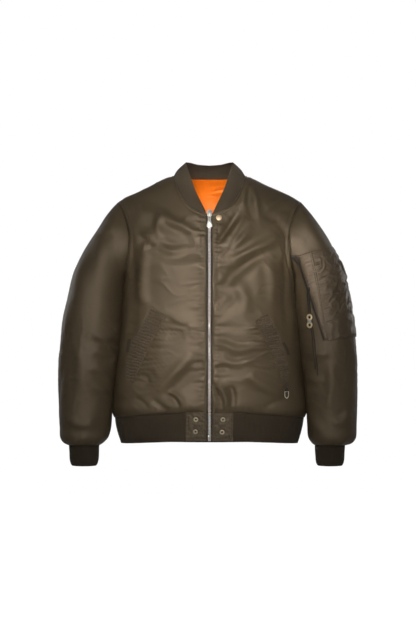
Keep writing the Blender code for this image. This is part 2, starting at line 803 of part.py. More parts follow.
def build_collar(material):
    """Ribbed collar: a band from one zip end round the neck to the other."""
    front, front_normals, _ = half_panel(-1)
    back, back_normals, _ = half_panel(1)
    foot = np.array([*front[-1, : NECK_COLUMNS + 1], *back[-1, NECK_COLUMNS - 1 :: -1]])
    seam = np.array([*front_normals[-1, : NECK_COLUMNS + 1], *back_normals[-1, NECK_COLUMNS - 1 :: -1]])
    foot[0, 0] = FRONT_EDGE_X + 1.0
    lengths = np.concatenate([[0], np.cumsum(np.linalg.norm(np.diff(foot, axis=0), axis=1))])
    parts = lengths / lengths[-1]
    top = np.array([[smooth(COLLAR_TOP, axis, "part", p) for axis in "xyz"] for p in parts])
    foot = np.concatenate([foot, mirrored(foot[-2::-1])])
    seam = np.concatenate([seam, mirrored(seam[-2::-1])])
    top = np.concatenate([top, mirrored(top[-2::-1])])
    grid = np.zeros((COLLAR_ROWS + 1, len(foot), 3))
    inside = np.array([0.0, -10.0, -20.0])
    for r in range(COLLAR_ROWS + 1):
        part = r / COLLAR_ROWS
        line = (1 - part) * foot + part * top
        wide = np.linalg.norm(top - foot, axis=1)
        out = np.array([unit((p - inside) * [1, 1, 0]) for p in line])
        bulge = COLLAR_BULGE * math.sin(math.pi * part) * np.minimum(wide / 40, 1)
        grid[r] = line + out * bulge[:, None]

    def middle(point):
        return np.array([0.0, -10.0, point[2] - 60.0])

    normals = grid_normals(grid, middle, closed=False)
    normals[0] = seam
    inner = grid - normals * RIB
    outer = grid.copy()
    trim(outer, inner, rows=(1.1, 0))
    wall("collar", outer, inner, False, material)


# ---------------------------------------------------------------- hem
def build_hem_rib(material):
    """Ribbed hem from one tab round the back to the other, in one piece."""
    begin_front = FRONT_EDGE_X + TAB_WIDTH + GAP
    turns = [i / HEM_STEPS for i in range(HEM_STEPS + 1)]
    half_path = [(-1, t) for t in turns] + [(1, t) for t in turns[-2::-1]]
    path = [(1, side, t) for side, t in half_path] + [(-1, side, t) for side, t in half_path[-2::-1]]
    outer, inner = [], []
    for part in HEM_PARTS:
        ring_out, ring_in = [], []
        half = smooth(HEM, "half_width", "part", part)
        for sign, side, t in path:
            begin = begin_front if side < 0 else 0.0
            x = begin + (half - begin) * math.sin(0.5 * math.pi * t)
            point = np.array([x, 0.0 if t == 1 else hem_y(x, part, side), hem_level(x, part, side)])
            normal = np.array([1.0, 0.0, 0.0])
            if t < 1:
                slope = hem_y(x + 0.4, part, side) - hem_y(max(x - 0.4, 0), part, side)
                normal = unit(np.array([-slope / 0.8, 1.0, 0.0]) * side)
            ring_out.append(point * [sign, 1, 1])
            ring_in.append((point - normal * RIB) * [sign, 1, 1])
        outer.append(ring_out)
        inner.append(ring_in)
    wall("hem_rib", np.array(outer), np.array(inner), False, material)


def build_hem_tab(name, sign, material, eyelets):
    """Woven end of the hem beside the zip, with two eyelet holes."""
    outer, inner = [], []
    for part in HEM_PARTS:
        ring = []
        for i in range(TAB_COLUMNS + 1):
            x = FRONT_EDGE_X + TAB_WIDTH * i / TAB_COLUMNS
            ring.append([sign * x, hem_y(x, part, -1), hem_level(x, part, -1)])
        outer.append(ring)
        inner.append([[x, y + RIB, z] for x, y, z in ring])
    tab = wall(name, np.array(outer), np.array(inner), False, material)
    for number, (x, z) in enumerate(eyelets):
        join(tab, turned(f"{name}_hole_{number}", EYELET_HOLE, front_frame(x, z), material), "DIFFERENCE")


# ---------------------------------------------------------------- small parts
def front_frame(x, z, lift=0.0):
    """Axes on the body's front: x across, y out of the cloth, z up it."""
    step = 2.0
    here = np.array([x, front_y(x, z), z])
    right = unit(np.array([2 * step, front_y(x + step, z) - front_y(x - step, z), 0.0]))
    up = unit(np.array([0.0, front_y(x, z + step) - front_y(x, z - step), 2 * step]))
    out = unit(np.cross(right, up))
    if out[1] > 0:
        out = -out
    up = unit(np.cross(right, out))
    if up[2] < 0:
        up = -up
    return here + out * lift, right, out, up


def in_frame(frame, x, out, up):
    """World point of a place in a frame."""
    here, right, away, rise = frame
    return here + x * right + out * away + up * rise


def turned(name, profile, frame, material, segments=16):
    """Solid turned about a frame's outward axis, from (radius, out) points."""
    points, faces = [], []
    rings = []
    for radius, out in profile:
        if radius == 0:
            points.append(in_frame(frame, 0, out, 0))
            rings.append([len(points) - 1])
            continue
        start = len(points)
        for i in range(segments):
            turn = 2 * math.pi * i / segments
            points.append(in_frame(frame, radius * math.cos(turn), out, radius * math.sin(turn)))
        rings.append(list(range(start, start + segments)))
    pairs = list(zip(rings, rings[1:]))
    if profile[0][0] != 0:
        pairs.append((rings[-1], rings[0]))
    for low, high in pairs:
        for i in range(segments):
            j = (i + 1) % segments
            if len(low) == 1:
                faces.append([low[0], high[i], high[j]])
            elif len(high) == 1:
                faces.append([low[i], low[j], high[0]])
            else:
                faces.append([low[i], low[j], high[j], high[i]])
    return add_object(name, closed_mesh(name, points, faces), material, smooth_angle=HARD_ANGLE)


def plate(name, outline, low, high, frame, material, origin=(0, 0, 0), axis="out"):
    """Prism over an outline: (x, up) points along out, or (out, up) along x."""
    points = []
    for level in (low, high):
        for a, b in outline:
            place = (a, level, b) if axis == "out" else (level, a, b)
            points.append(in_frame(frame, *place))
    count = len(outline)
    faces = [list(range(count)), list(range(2 * count - 1, count - 1, -1))]
    for i in range(count):
        j = (i + 1) % count
        faces.append([i, j, count + j, count + i])
    return add_object(name, closed_mesh(name, points, faces, origin), material, origin, HARD_ANGLE)


def join(main, other, operation):
    """Add or cut a helper solid."""
    other.hide_render = True
    other.display_type = "WIRE"
    step = main.modifiers.new(other.name, "BOOLEAN")
    step.object = other
    step.operation = operation


def box_outline(half_width, low, high):
    """Upright rectangle about the middle."""
    return [(-half_width, low), (half_width, low), (half_width, high), (-half_width, high)]


def span_outline(left, right, low, high):
    """Upright rectangle between two sides."""
    return [(left, low), (right, low), (right, high), (left, high)]


def ring_outline(half_width, half_height, centre, segments=18):
    """Round or oval outline."""
    turns = [2 * math.pi * i / segments for i in range(segments)]
    return [(centre[0] + half_width * math.cos(t), centre[1] + half_height * math.sin(t)) for t in turns]


def strip_on_front(name, sign, left, right, base, thick, material, crown=0.0):
    """Pad on the front between two edges given as lists of (x, z) places."""
    outer, inner = [], []
    for (ax, az), (bx, bz) in zip(left, right):
        row_out, row_in = [], []
        for i in range(STRIP_COLUMNS + 1):
            part = i / STRIP_COLUMNS
            x, z = ax + (bx - ax) * part, az + (bz - az) * part
            here, _, out, _ = front_frame(x, z)
            rise = crown * math.sin(math.pi * part)
            row_in.append((here + out * base) * [sign, 1, 1])
            row_out.append((here + out * (base + thick + rise)) * [sign, 1, 1])
        outer.append(row_out)
        inner.append(row_in)
    return wall(name, np.array(outer), np.array(inner), False, material)


def finer(edge, parts):
    """More places along an edge, on a curve through the given ones."""
    Place = namedtuple("Place", "key x z")
    table = [Place(i, *p) for i, p in enumerate(edge)]
    count = (len(edge) - 1) * parts
    keys = [i / parts for i in range(count + 1)]
    return [(smooth(table, "x", "key", k), smooth(table, "z", "key", k)) for k in keys]


def both_sides(side):
    """Closed outline from its half on the +x side, first point to last."""
    return [*side, *((-x, up) for x, up in reversed(side) if x)]


def zip_heights():
    """Heights where the front zip bends, from the hem's edge to the neck."""
    panel = [panel_flat(-1, row, 0)[1] for row in range(ROWS)]
    return [hem_level(0, part, -1) for part in HEM_PARTS] + panel + [NECK_FRONT_Z]


def build_zip(metal, tape):
    """Front zip: tapes, chain, end box and slider."""
    heights = zip_heights()
    for name, sign in (("zip_tape_left", 1), ("zip_tape_right", -1)):
        edges = [[(sign * x, front_y(x, z), z) for x in (TAPE_INNER, TAPE_OUTER)] for z in heights]
        outer = np.array(edges) + [0, TAPE_FRONT, 0]
        inner = np.array(edges) + [0, TAPE_BACK, 0]
        wall(name, outer, inner, False, tape)
    box_top = HEM_EDGE + ZIP_BOX_HEIGHT
    between_ends = [z for z in heights if box_top + 3 < z < CHAIN_TOP - 3]
    chain = [box_top + 0.8, *between_ends, CHAIN_TOP]
    outer = [[[x, front_y(0, z) + CHAIN_FRONT, z] for x in (-CHAIN_HALF, CHAIN_HALF)] for z in chain]
    inner = [[[x, front_y(0, z) + CHAIN_BACK, z] for x in (-CHAIN_HALF, CHAIN_HALF)] for z in chain]
    wall("zip_chain", np.array(outer), np.array(inner), False, metal)
    half = 0.5 * ZIP_BOX_HEIGHT
    foot = front_frame(0, HEM_EDGE + half)
    plate("zip_box", box_outline(CHAIN_HALF, -half, half), -4.6, 1.0, foot, metal)
    build_zip_slider(metal)


def build_zip_slider(metal):
    """Slider at the top of the front zip, and the pull tab that hangs from it."""
    seat = front_frame(0, PULL_AXIS_UP)
    top, bottom = SLIDER_TOP - PULL_AXIS_UP, SLIDER_BOTTOM - PULL_AXIS_UP
    neck = CHAIN_TOP - PULL_AXIS_UP + 1.2
    profile = [
        (SLIDER_FACE_FRONT, bottom),
        (SLIDER_FACE_FRONT, top - 1.5),
        (1.0, top),
        (SLIDER_WING_BACK, top),
        (SLIDER_WING_BACK, bottom + 2),
        (SLIDER_WING_FRONT, bottom + 2),
        (SLIDER_WING_FRONT, neck),
        (0.0, neck),
        (0.0, bottom),
    ]
    slider = plate("zip_slider", profile, -SLIDER_HALF_WIDTH, SLIDER_HALF_WIDTH, seat, metal, axis="side")
    face_side = [(6.2, bottom + 0.4), (6.6, top - 4), (4.6, top - 0.4)]
    face = plate("zip_slider_face", both_sides(face_side), 0.1, 2.3, seat, metal)
    bail = plate("zip_slider_bail", BAIL, -BAIL_HALF_WIDTH, BAIL_HALF_WIDTH, seat, metal, axis="side")
    bail_gap = plate("zip_slider_gap", BAIL_GAP, -CUT_REACH, CUT_REACH, seat, metal, axis="side")
    join(bail, bail_gap, "DIFFERENCE")
    join(slider, face, "UNION")
    join(slider, bail, "UNION")
    axis = in_frame(seat, 0, PULL_AXIS_OUT - 0.2, 0)
    hang = (axis, *seat[1:])
    outline = both_sides(PULL_SIDE)
    pull = plate("zip_pull", outline, -PULL_HALF_THICK, PULL_HALF_THICK, hang, metal, origin=axis)
    for name, span in (("zip_pull_window", PULL_WINDOW), ("zip_pull_slot", PULL_SLOT)):
        join(pull, plate(name, span_outline(*span), -CUT_REACH, CUT_REACH, hang, metal), "DIFFERENCE")


def build_snap_and_eyelets(metal, cream):
    """Neck snap and the four hem eyelets."""
    turned("neck_snap", SNAP_PROFILE, front_frame(*SNAP_AT, lift=0.5), cream)
    for name, (x, z) in EYELETS.items():
        turned(name, EYELET_PROFILE, front_frame(x, z), metal)


def build_hand_pockets(cloth, dark, metal):
    """Ruched welts, their pull loops, and the zip ring on the wearer's left."""
    for name, sign, table, loop in (
        ("right", -1, WELT_RIGHT, LOOP_RIGHT),
        ("left", 1, WELT_LEFT, LOOP_LEFT),
    ):
        inner_edge = finer([(w.in_x, w.in_z) for w in table], WELT_PARTS)
        outer_edge = finer([(w.out_x, w.out_z) for w in table], WELT_PARTS)
        strip_on_front(f"pocket_welt_{name}", sign, inner_edge, outer_edge, 0.6, 2.0, cloth, WELT_CROWN)
        half = 0.5 * LOOP_WIDTH
        left = finer([(x - half, z) for x, z in loop], LOOP_PARTS)
        right = finer([(x + half, z) for x, z in loop], LOOP_PARTS)
        strip_on_front(f"pocket_loop_{name}", sign, left, right, LOOP_LIFT, 1.6, cloth)
    seat = front_frame(*POCKET_SLIDER)
    slider = plate("pocket_slider", POCKET_SLIDER_FACE, 0.4, 3.0, seat, dark)
    half = POCKET_BAIL_HALF_WIDTH
    bail = plate("pocket_slider_bail", POCKET_BAIL, -half, half, seat, dark, axis="side")
    bail_gap = plate("pocket_slider_gap", POCKET_BAIL_GAP, -CUT_REACH, CUT_REACH, seat, dark, axis="side")
    foot = plate("pocket_slider_foot", span_outline(-2, 2, -9.0, -3.9), 0.7, 2.1, seat, dark)
    join(bail, bail_gap, "DIFFERENCE")
    join(slider, foot, "UNION")
    join(slider, bail, "UNION")
    axis = in_frame(seat, 0, 3.3, -POCKET_RING_DROP)
    hang = (axis, *seat[1:])
    outline = both_sides(RING_SIDE)
    ring = plate("pocket_ring", outline, -RING_HALF_THICK, RING_HALF_THICK, hang, metal, origin=axis)
    hole = plate("pocket_ring_hole", both_sides(RING_HOLE_SIDE), -CUT_REACH, CUT_REACH, hang, metal)
    join(ring, hole, "DIFFERENCE")


def pocket_place(rows, u, v):
    """Place (s, turn) on the sleeve pocket: u goes back from the zip, v down."""
    s_out = POCKET_TOP_OUT + (POCKET_FOOT_OUT - POCKET_TOP_OUT) * v
    if u > POCKET_OUTLINE_U:
        past = (u - POCKET_OUTLINE_U) / (1 - POCKET_OUTLINE_U)
        return s_out, math.pi + (POCKET_WRAP - math.pi) * past
    section = sleeve_section(rows, s_out)
    out = math.sin(0.5 * math.pi * u / POCKET_OUTLINE_U) * 0.9999
    x, z = between(between(POCKET_TOP_FRONT, POCKET_FOOT_FRONT, v), (section.out_x, section.out_z), out)
    return sleeve_place(rows, x, z)


def sleeve_patch(name, rows, corners, base, thick, material, steps):
    """Pad on the sleeve pocket between the (u, v) corners, top pair first."""
    (a, b), (c, d) = corners
    outer, inner = [], []
    for i in range(steps[0] + 1):
        row_out, row_in = [], []
        for j in range(steps[1] + 1):
            top, foot = between(a, b, j / steps[1]), between(c, d, j / steps[1])
            s, turn = pocket_place(rows, *between(top, foot, i / steps[0]))
            row_in.append(sleeve_lifted(rows, s, turn, base)[0])
            row_out.append(sleeve_lifted(rows, s, turn, base + thick)[0])
        outer.append(row_out)
        inner.append(row_in)
    return wall(name, np.array(outer), np.array(inner), False, material)


def between(a, b, part):
    """Place part of the way from a to b."""
    return tuple(np.array(a) * (1 - part) + np.array(b) * part)


def build_sleeve_pocket(rows, cloth):
    """Utility pocket on the wearer's left sleeve: base, band, zip flap, pen slot."""
    for name, patch in PATCHES.items():
        sleeve_patch(name, rows, patch.corners, patch.base, patch.thick, cloth, patch.steps)


def sleeve_frame(rows, x, z, lift):
    """Axes on the sleeve's front: x across, y out of the cloth, z up."""
    s, turn = sleeve_place(rows, x, z)
    here, out = sleeve_lifted(rows, s, turn, lift)
    up = unit(np.array([0.0, 0.0, 1.0]) - out * out[2])
    right = unit(np.cross(up, out))
    if right[0] < 0:
        right = -right
    return here, right, out, up


def build_lace(rows, cord, metal):
    """Doubled pull lace of the sleeve zip, its slider and the link on it."""
    seat = sleeve_frame(rows, *SLEEVE_SLIDER, 6.0)
    plate("sleeve_slider", SLEEVE_SLIDER_FACE, 0.0, 2.2, seat, metal)
    seat = sleeve_frame(rows, *LINK, 5.0)
    outline = ring_outline(LINK_RADIUS, LINK_RADIUS, (0.0, LINK_SPREAD))
    link = plate("lace_link", outline, 0.0, 2.0, seat, metal)
    lower_outline = ring_outline(LINK_RADIUS, LINK_RADIUS, (0.0, -LINK_SPREAD))
    lower = plate("lace_link_lower", lower_outline, 0.0, 2.0, seat, metal)
    middle = plate("lace_link_middle", box_outline(5.0, -3.5, 3.5), -0.2, 3.0, seat, metal)
    join(link, lower, "UNION")
    join(link, middle, "UNION")
    for number, height in enumerate((9.8, -9.8)):
        outline = ring_outline(4.4, 4.84, (0.0, height))
        join(link, plate(f"lace_link_hole_{number}", outline, -5, 5, seat, metal), "DIFFERENCE")
    for name, route in (("lace_front", LACE_A), ("lace_back", LACE_B)):
        tube(name, lace_points(rows, route), LACE_RADIUS, cord)


def lace_points(rows, route):
    """Points along a lace every few millimetres, lying on the sleeve."""
    Stop = namedtuple("Stop", "key x z lift")
    table = [Stop(-stop.z, stop.x, stop.z, stop.lift) for stop in route]
    count = int((table[-1].key - table[0].key) / LACE_STEP)
    points = []
    for i in range(count + 1):
        key = table[0].key + (table[-1].key - table[0].key) * i / count
        x, lift = smooth(table, "x", "key", key), smooth(table, "lift", "key", key)
        s, turn = sleeve_place(rows, x, -key)
        points.append(sleeve_lifted(rows, s, turn, lift)[0])
    return points


def tube(name, points, radius, material):
    """Round cord through points."""
    curve = bpy.data.curves.new(name, "CURVE")
    curve.dimensions = "3D"
    curve.bevel_depth = radius * METRES
    curve.bevel_resolution = 2
    curve.use_fill_caps = True
    spline = curve.splines.new("POLY")
    spline.points.add(len(points) - 1)
    for place, point in zip(spline.points, points):
        place.co = (*(point * METRES), 1.0)
    thing = bpy.data.objects.new(name, curve)
    bpy.context.collection.objects.link(thing)
    curve.materials.append(material)
    return thing


def build_jacket():
    """The whole jacket."""
    nylon = colour_material("nylon", (0.075, 0.060, 0.040), 0.42)
    rib = colour_material("rib_knit", (0.035, 0.027, 0.020), 0.9)
    orange = colour_material("lining_nylon", (0.90, 0.20, 0.02), 0.45)
    tape = colour_material("zip_tape", (0.025, 0.022, 0.018), 0.8)
    metal = colour_material("nickel", (0.75, 0.73, 0.68), 0.3, 1.0)
    cream = colour_material("snap_brass", (0.80, 0.66, 0.40), 0.35, 1.0)
    dark = colour_material("dark_metal", (0.05, 0.045, 0.04), 0.45, 1.0)
    lace = colour_material("lace_cord", (0.012, 0.011, 0.010), 0.8)
    build_fronts(nylon)
    build_back(nylon)
    build_lining(orange)
    for name, sign in (("left", 1), ("right", -1)):
        build_sleeve(f"sleeve_{name}", sign, nylon)
        build_cuff(f"cuff_{name}", sign, rib)
    build_collar(rib)
    build_hem_rib(rib)
    for name, sign in (("left", 1), ("right", -1)):
        eyelets = [place for key, place in EYELETS.items() if name in key]
        build_hem_tab(f"hem_tab_{name}", sign, nylon, eyelets)
    build_zip(metal, tape)
    build_snap_and_eyelets(metal, cream)
    build_hand_pockets(nylon, dark, metal)
    rows = sleeve_rows(1)
    build_sleeve_pocket(rows, nylon)
    build_lace(rows, lace, metal)


for thing in list(bpy.data.objects):
    bpy.data.objects.remove(thing, do_unlink=True)
build_jacket()
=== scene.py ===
"""Filled-out flight jacket, dressed over its fixed frame.

Cloth, knitted ribs, zip, trim and laces follow the same cut as the frame.
Sizes are in millimetres and become metres where a mesh is made. +Z is up,
the jacket faces -Y and +X is the wearer's left.
"""
import sys
import logging
import math
from dataclasses import dataclass, field
from enum import Enum
from typing import Callable, NamedTuple, Sequence

import bmesh
import bpy
import numpy as np
from mathutils import Matrix, Vector


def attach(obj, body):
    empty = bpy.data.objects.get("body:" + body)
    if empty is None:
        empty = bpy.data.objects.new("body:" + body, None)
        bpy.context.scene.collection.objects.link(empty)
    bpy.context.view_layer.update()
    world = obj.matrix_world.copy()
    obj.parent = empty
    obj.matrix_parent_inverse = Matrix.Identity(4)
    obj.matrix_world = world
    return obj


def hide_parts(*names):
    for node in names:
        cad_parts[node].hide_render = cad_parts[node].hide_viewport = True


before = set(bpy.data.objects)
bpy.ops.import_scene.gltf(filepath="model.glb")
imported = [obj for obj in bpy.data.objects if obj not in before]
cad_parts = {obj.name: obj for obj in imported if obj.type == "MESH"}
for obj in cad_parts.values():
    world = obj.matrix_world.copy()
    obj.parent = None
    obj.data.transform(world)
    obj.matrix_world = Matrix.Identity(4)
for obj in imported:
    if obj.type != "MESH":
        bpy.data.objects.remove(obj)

LOG = logging.getLogger("jacket")
METRES = 0.001
TURN = 2 * math.pi
TINY = 1e-9
MERGE_DISTANCE = 1e-6
SHARP_ANGLE, BEVELLED_ANGLE = 0.7, 0.6
SECTION_HALVINGS = 34
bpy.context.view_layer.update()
Array = np.ndarray
Pair = tuple[float, float]
Triple = tuple[float, float, float]


class Side(Enum):
    """Front or back of the body; the value is the sign of y."""

    FRONT = -1
    BACK = 1


class Wearer(Enum):
    """Side of the wearer; the value is the sign of x."""

    LEFT = 1
    RIGHT = -1


# ---------------------------------------------------------------- the cut
HEM_SEAM, HEM_SEAM_SIDE, HEM_SEAM_BACK = -596.0, -614.5, -617.0
HEM_EDGE, HEM_EDGE_SIDE, HEM_EDGE_BACK = -669.0, -679.0, -684.5
HEM_SEAM_HALF, HEM_EDGE_HALF, HEM_SEAM_GAP = 243.0, 225.5, 0.5
UNDERARM = -268.0
SHOULDER_TIP_X, SHOULDER_TIP_Z = 231.0, -66.0
NECK_POINT_X, FRONT_EDGE_X = 91.0, 7.5
SECTION_POWER = 2.4
ROUNDS = {Side.FRONT: (170.0, 2.2), Side.BACK: (120.0, 2.6)}
SIDE_ROWS, ROWS = 8, 18
ARM_ROWS = ROWS - SIDE_ROWS
NECK_COLUMNS, COLUMNS = 5, 10
SLEEVE_ROUND = 2.15


class Body(NamedTuple):
    """Level section of the body."""

    z: float
    half_width: float
    front: float
    back: float


BODY = [
    Body(-617, 242.5, 106, 94),
    Body(-602, 244.5, 110, 97),
    Body(-587, 245.5, 114, 99),
    Body(-560, 244.5, 117, 99.5),
    Body(-502, 239, 120, 99),
    Body(-430, 231, 122, 101),
    Body(-350, 223, 122, 105),
    Body(-268, 216.3, 121, 111),
    Body(-240, 221, 119, 112),
    Body(-200, 238, 113, 112),
    Body(-161, 252, 107, 111),
    Body(-130, 259, 102, 109),
    Body(-95, 262, 97, 106),
    Body(0, 266, 94, 103),
    Body(30, 267, 93, 102),
]


class Hem(NamedTuple):
    """Level section of the knitted hem, a part of the way up from its edge."""

    part: float
    half_width: float
    front: float
    back: float


HEM = [
    Hem(0, 225.5, 98, 84), Hem(0.33, 232, 101.5, 87), Hem(0.66, 237.5, 105, 90),
    Hem(1, 241, 108.4, 92.8),
]


class Shoulder(NamedTuple):
    """Place on the shoulder seam."""

    x: float
    z: float


SHOULDER = [
    Shoulder(0, 16),
    Shoulder(60, 10),
    Shoulder(91, 0),
    Shoulder(113, -8),
    Shoulder(143, -23),
    Shoulder(175, -38),
    Shoulder(213, -55),
    Shoulder(231, -66),
]


class Neck(NamedTuple):
    """Place on the neck seam, a part of the way from the middle to the shoulder."""

    part: float
    x: float
    z: float


FRONT_NECK = [
    Neck(0, 7.5, -101),
    Neck(0.2, 28, -95.5),
    Neck(0.4, 50, -82),
    Neck(0.6, 68, -60),
    Neck(0.8, 82, -31),
    Neck(1, 91, 0),
]
BACK_NECK = [
    Neck(0, 0, -2), Neck(0.25, 28, -2), Neck(0.5, 53, -1.6), Neck(0.75, 75, -1), Neck(1, 91, 0)
]


class Armhole(NamedTuple):
    """Place on the armhole seam."""

    z: float
    x: float


ARMHOLE = [
    Armhole(-268, 216.3),
    Armhole(-251, 213.5),
    Armhole(-226, 208.5),
    Armhole(-193, 203),
    Armhole(-164, 201),
    Armhole(-141, 203),
    Armhole(-107, 212.5),
    Armhole(-85, 222),
    Armhole(-66, 231),
]


class Section(NamedTuple):
    """Section of a sleeve: underarm and overarm points, half depth, middle depth."""

    in_x: float
    in_z: float
    out_x: float
    out_z: float
    half_depth: float
    mid_y: float


SLEEVE = [
    Section(216.3, -268, 231, -66, 76, 0),
    Section(218.6, -271, 256, -96, 77, -1),
    Section(219.5, -281, 280, -130, 76.5, -4),
    Section(220, -297, 303, -166, 76, -8),
    Section(221.3, -319, 322.5, -206, 75, -12),
    Section(222.8, -346, 339.5, -251, 74, -16),
    Section(225.6, -379, 350.5, -299, 72.5, -19),
    Section(229.4, -418, 360.5, -352, 71, -22),
    Section(233.8, -462, 368.5, -412, 69.5, -25),
    Section(238.9, -508, 372.5, -474, 67.5, -28),
    Section(243.8, -553, 373, -534, 65, -31),
    Section(246.8, -597, 372, -590, 63, -33),
    Section(249, -634, 369.5, -634, 61, -35),
    Section(252, -660, 366, -660, 58, -37),
    Section(259, -675, 357, -675, 51, -38),
    Section(265.7, -682.5, 343.3, -682.5, 39.5, -39),
]
SWING_FROM, SWING_ROWS, SWING_UNDER, SWING_OVER, SWING_CUFF, SWING_LATE = 2, 4, 0.5, 7.5, 12.0, 3


class Cuff(NamedTuple):
    """Level section of a cuff."""

    z: float
    half_width: float
    half_depth: float


CUFF = [
    Cuff(-682.8, 38.5, 38.0),
    Cuff(-699, 37.6, 36.4),
    Cuff(-717, 36.8, 35.4),
    Cuff(-729, 34.6, 33.2),
    Cuff(-735, 30.8, 29.6),
]
CUFF_CENTRE_X, CUFF_CENTRE_Y = 304.5, -39.0


class CollarTop(NamedTuple):
    """Place on the collar's free edge, from the zip to the middle of the back."""

    part: float
    x: float
    y: float
    z: float


COLLAR_TOP = [
    CollarTop(0, 9, -91, -97.5),
    CollarTop(0.1, 15.5, -88, -84.5),
    CollarTop(0.2, 23.5, -82, -68),
    CollarTop(0.32, 36, -71, -41),
    CollarTop(0.45, 47.5, -52, -9.5),
    CollarTop(0.56, 56.5, -26, 18.5),
    CollarTop(0.66, 60, -2, 34.5),
    CollarTop(0.78, 51, 22, 35.5),
    CollarTop(0.89, 29, 36, 31.5),
    CollarTop(1, 0, 40, 29.5),
]
COLLAR_BULGE = 5.0


class Welt(NamedTuple):
    """Ruched welt at one height: its edge by the zip and its outer edge."""

    in_x: float
    in_z: float
    out_x: float
    out_z: float


WELTS = {
    Wearer.RIGHT: [
        Welt(110, -357, 145, -336),
        Welt(126, -389, 157, -362),
        Welt(145, -423, 177, -395),
        Welt(164, -465, 199, -434),
        Welt(179, -497, 207, -477),
        Welt(190, -526, 208, -513),
    ],
    Wearer.LEFT: [
        Welt(115, -369, 145, -353),
        Welt(126, -394, 158, -377),
        Welt(142, -425, 175, -409),
        Welt(154, -446, 184, -439),
        Welt(167, -480, 193, -472),
        Welt(179, -517, 201, -504),
        Welt(186, -535, 195, -535),
    ],
}
LOOPS = {Wearer.RIGHT: [(199, -414), (203, -448)], Wearer.LEFT: [(183, -423), (197, -455)]}


class LaceStop(NamedTuple):
    """Place of a lace on the left sleeve's front, and its height above the cloth."""

    x: float
    z: float
    lift: float


LACES = {
    "lace_front": [
        LaceStop(249.5, -285.5, 7.9),
        LaceStop(248.8, -307, 7.6),
        LaceStop(248.8, -325, 4.2),
        LaceStop(249.5, -342, 2.9),
        LaceStop(252.5, -370, 2.8),
        LaceStop(257.5, -400, 2.6),
        LaceStop(262.0, -440, 2.4),
        LaceStop(266.0, -491, 2.4),
    ],
    "lace_back": [
        LaceStop(253.0, -285.5, 7.9),
        LaceStop(252.3, -307, 7.6),
        LaceStop(252.4, -325, 4.4),
        LaceStop(253.2, -342, 2.9),
        LaceStop(256.2, -370, 2.8),
        LaceStop(261.5, -400, 2.6),
        LaceStop(267.0, -445, 2.4),
        LaceStop(272.0, -506, 2.4),
    ],
}
CALM_PLACES = [(23.5, -112, 8), (191.5, -541, 9), (192.5, -556, 9)]
POCKET_TOP_FRONT, POCKET_FOOT_FRONT = (223.5, -205.0), (289.0, -420.0)
POCKET_TOP_OUT, POCKET_FOOT_OUT, POCKET_WRAP, POCKET_OUTLINE_U = 3.35, 7.95, 1.2 * math.pi, 0.76
POCKET_TURN_REACH, SIDE_TOUCH = 74.0, 2.6


# ---------------------------------------------------------------- shape helpers
class Curve:
    """Smooth curve through pairs that never overshoots between two of them."""

    def __init__(self, keys: Sequence[float], values: Sequence[float]) -> None:
        """Sort the pairs and work out the slopes.

        Args:
            keys: Where each value stands.
            values: The values.
        """
        order = np.argsort(keys)
        self.keys, self.values = np.array(keys, float)[order], np.array(values, float)[order]
        rise = np.diff(self.values) / np.diff(self.keys)
        left, right = rise[:-1], rise[1:]
        total = np.where(left * right > 0, left + right, 1.0)
        inner = np.where(left * right > 0, 2 * left * right / total, 0.0)
        self.slopes = np.concatenate([rise[:1], inner, rise[-1:]])

    def __call__(self, at: Array | float) -> Array:
        """Value of the curve at one or many keys."""
        at = np.clip(at, self.keys[0], self.keys[-1])
        slot = np.clip(np.searchsorted(self.keys, at) - 1, 0, len(self.keys) - 2)
        span = self.keys[slot + 1] - self.keys[slot]
        t = (at - self.keys[slot]) / span
        a, b = self.values[slot], self.values[slot + 1]
        start, end = self.slopes[slot] * span, self.slopes[slot + 1] * span
        return (
            a * (2 * t**3 - 3 * t**2 + 1) + start * (t**3 - 2 * t**2 + t)
            + b * (3 * t**2 - 2 * t**3) + end * (t**3 - t**2)
        )


def column(rows: Sequence[NamedTuple], key: str, value: str) -> Curve:
    """Curve of one column of a table against another."""
    return Curve([getattr(row, key) for row in rows], [getattr(row, value) for row in rows])


def rounded(part: Array, power: float) -> Array:
    """How far a superellipse of unit radii reaches at a part of its width."""
    return (1 - np.minimum(np.abs(part), 1.0) ** power) ** (1 / power)


def ease(t: Array | float) -> Array:
    """Smooth step from 0 to 1."""
    t = np.clip(t, 0.0, 1.0)
    return t * t * (3 - 2 * t)


def bell(off: Array, width: float) -> Array:
    """Soft bump that is 1 in its middle and fades over its width."""
    return np.exp(-((off / width) ** 2))


def filled(off: Array, width: float) -> Array:
    """Rise from 0 on an edge to almost 1 a few widths from it."""
    return 1 - np.exp(-off / width)


def from_border(x: Array, z: Array, wide: float, tall: float) -> Array:
    """Distance of places on a patch from its nearest edge."""
    return np.minimum(np.minimum(x, wide - x), np.minimum(z, tall - z))


def unit(v: Array) -> Array:
    """Vectors along the last axis, made one long."""
    return v / np.maximum(np.linalg.norm(v, axis=-1, keepdims=True), TINY)


def mirrored(points: Array, wearer: Wearer) -> Array:
    """Points of the wearer's left, moved to the given side."""
    return points * np.array([wearer.value, 1.0, 1.0])


def length_of(line: Array) -> float:
    """Length of a line through points."""
    return float(np.linalg.norm(np.diff(line, axis=0), axis=1).sum())


def lengths_along(line: Array) -> Array:
    """Length of a line up to each of its points."""
    return np.concatenate([[0], np.cumsum(np.linalg.norm(np.diff(line, axis=0), axis=1))])


def sampled(at: Array, keys: Array, points: Array) -> Array:
    """Points of a line at places between its keys."""
    return np.stack([np.interp(at, keys, values) for values in points.T], axis=-1)


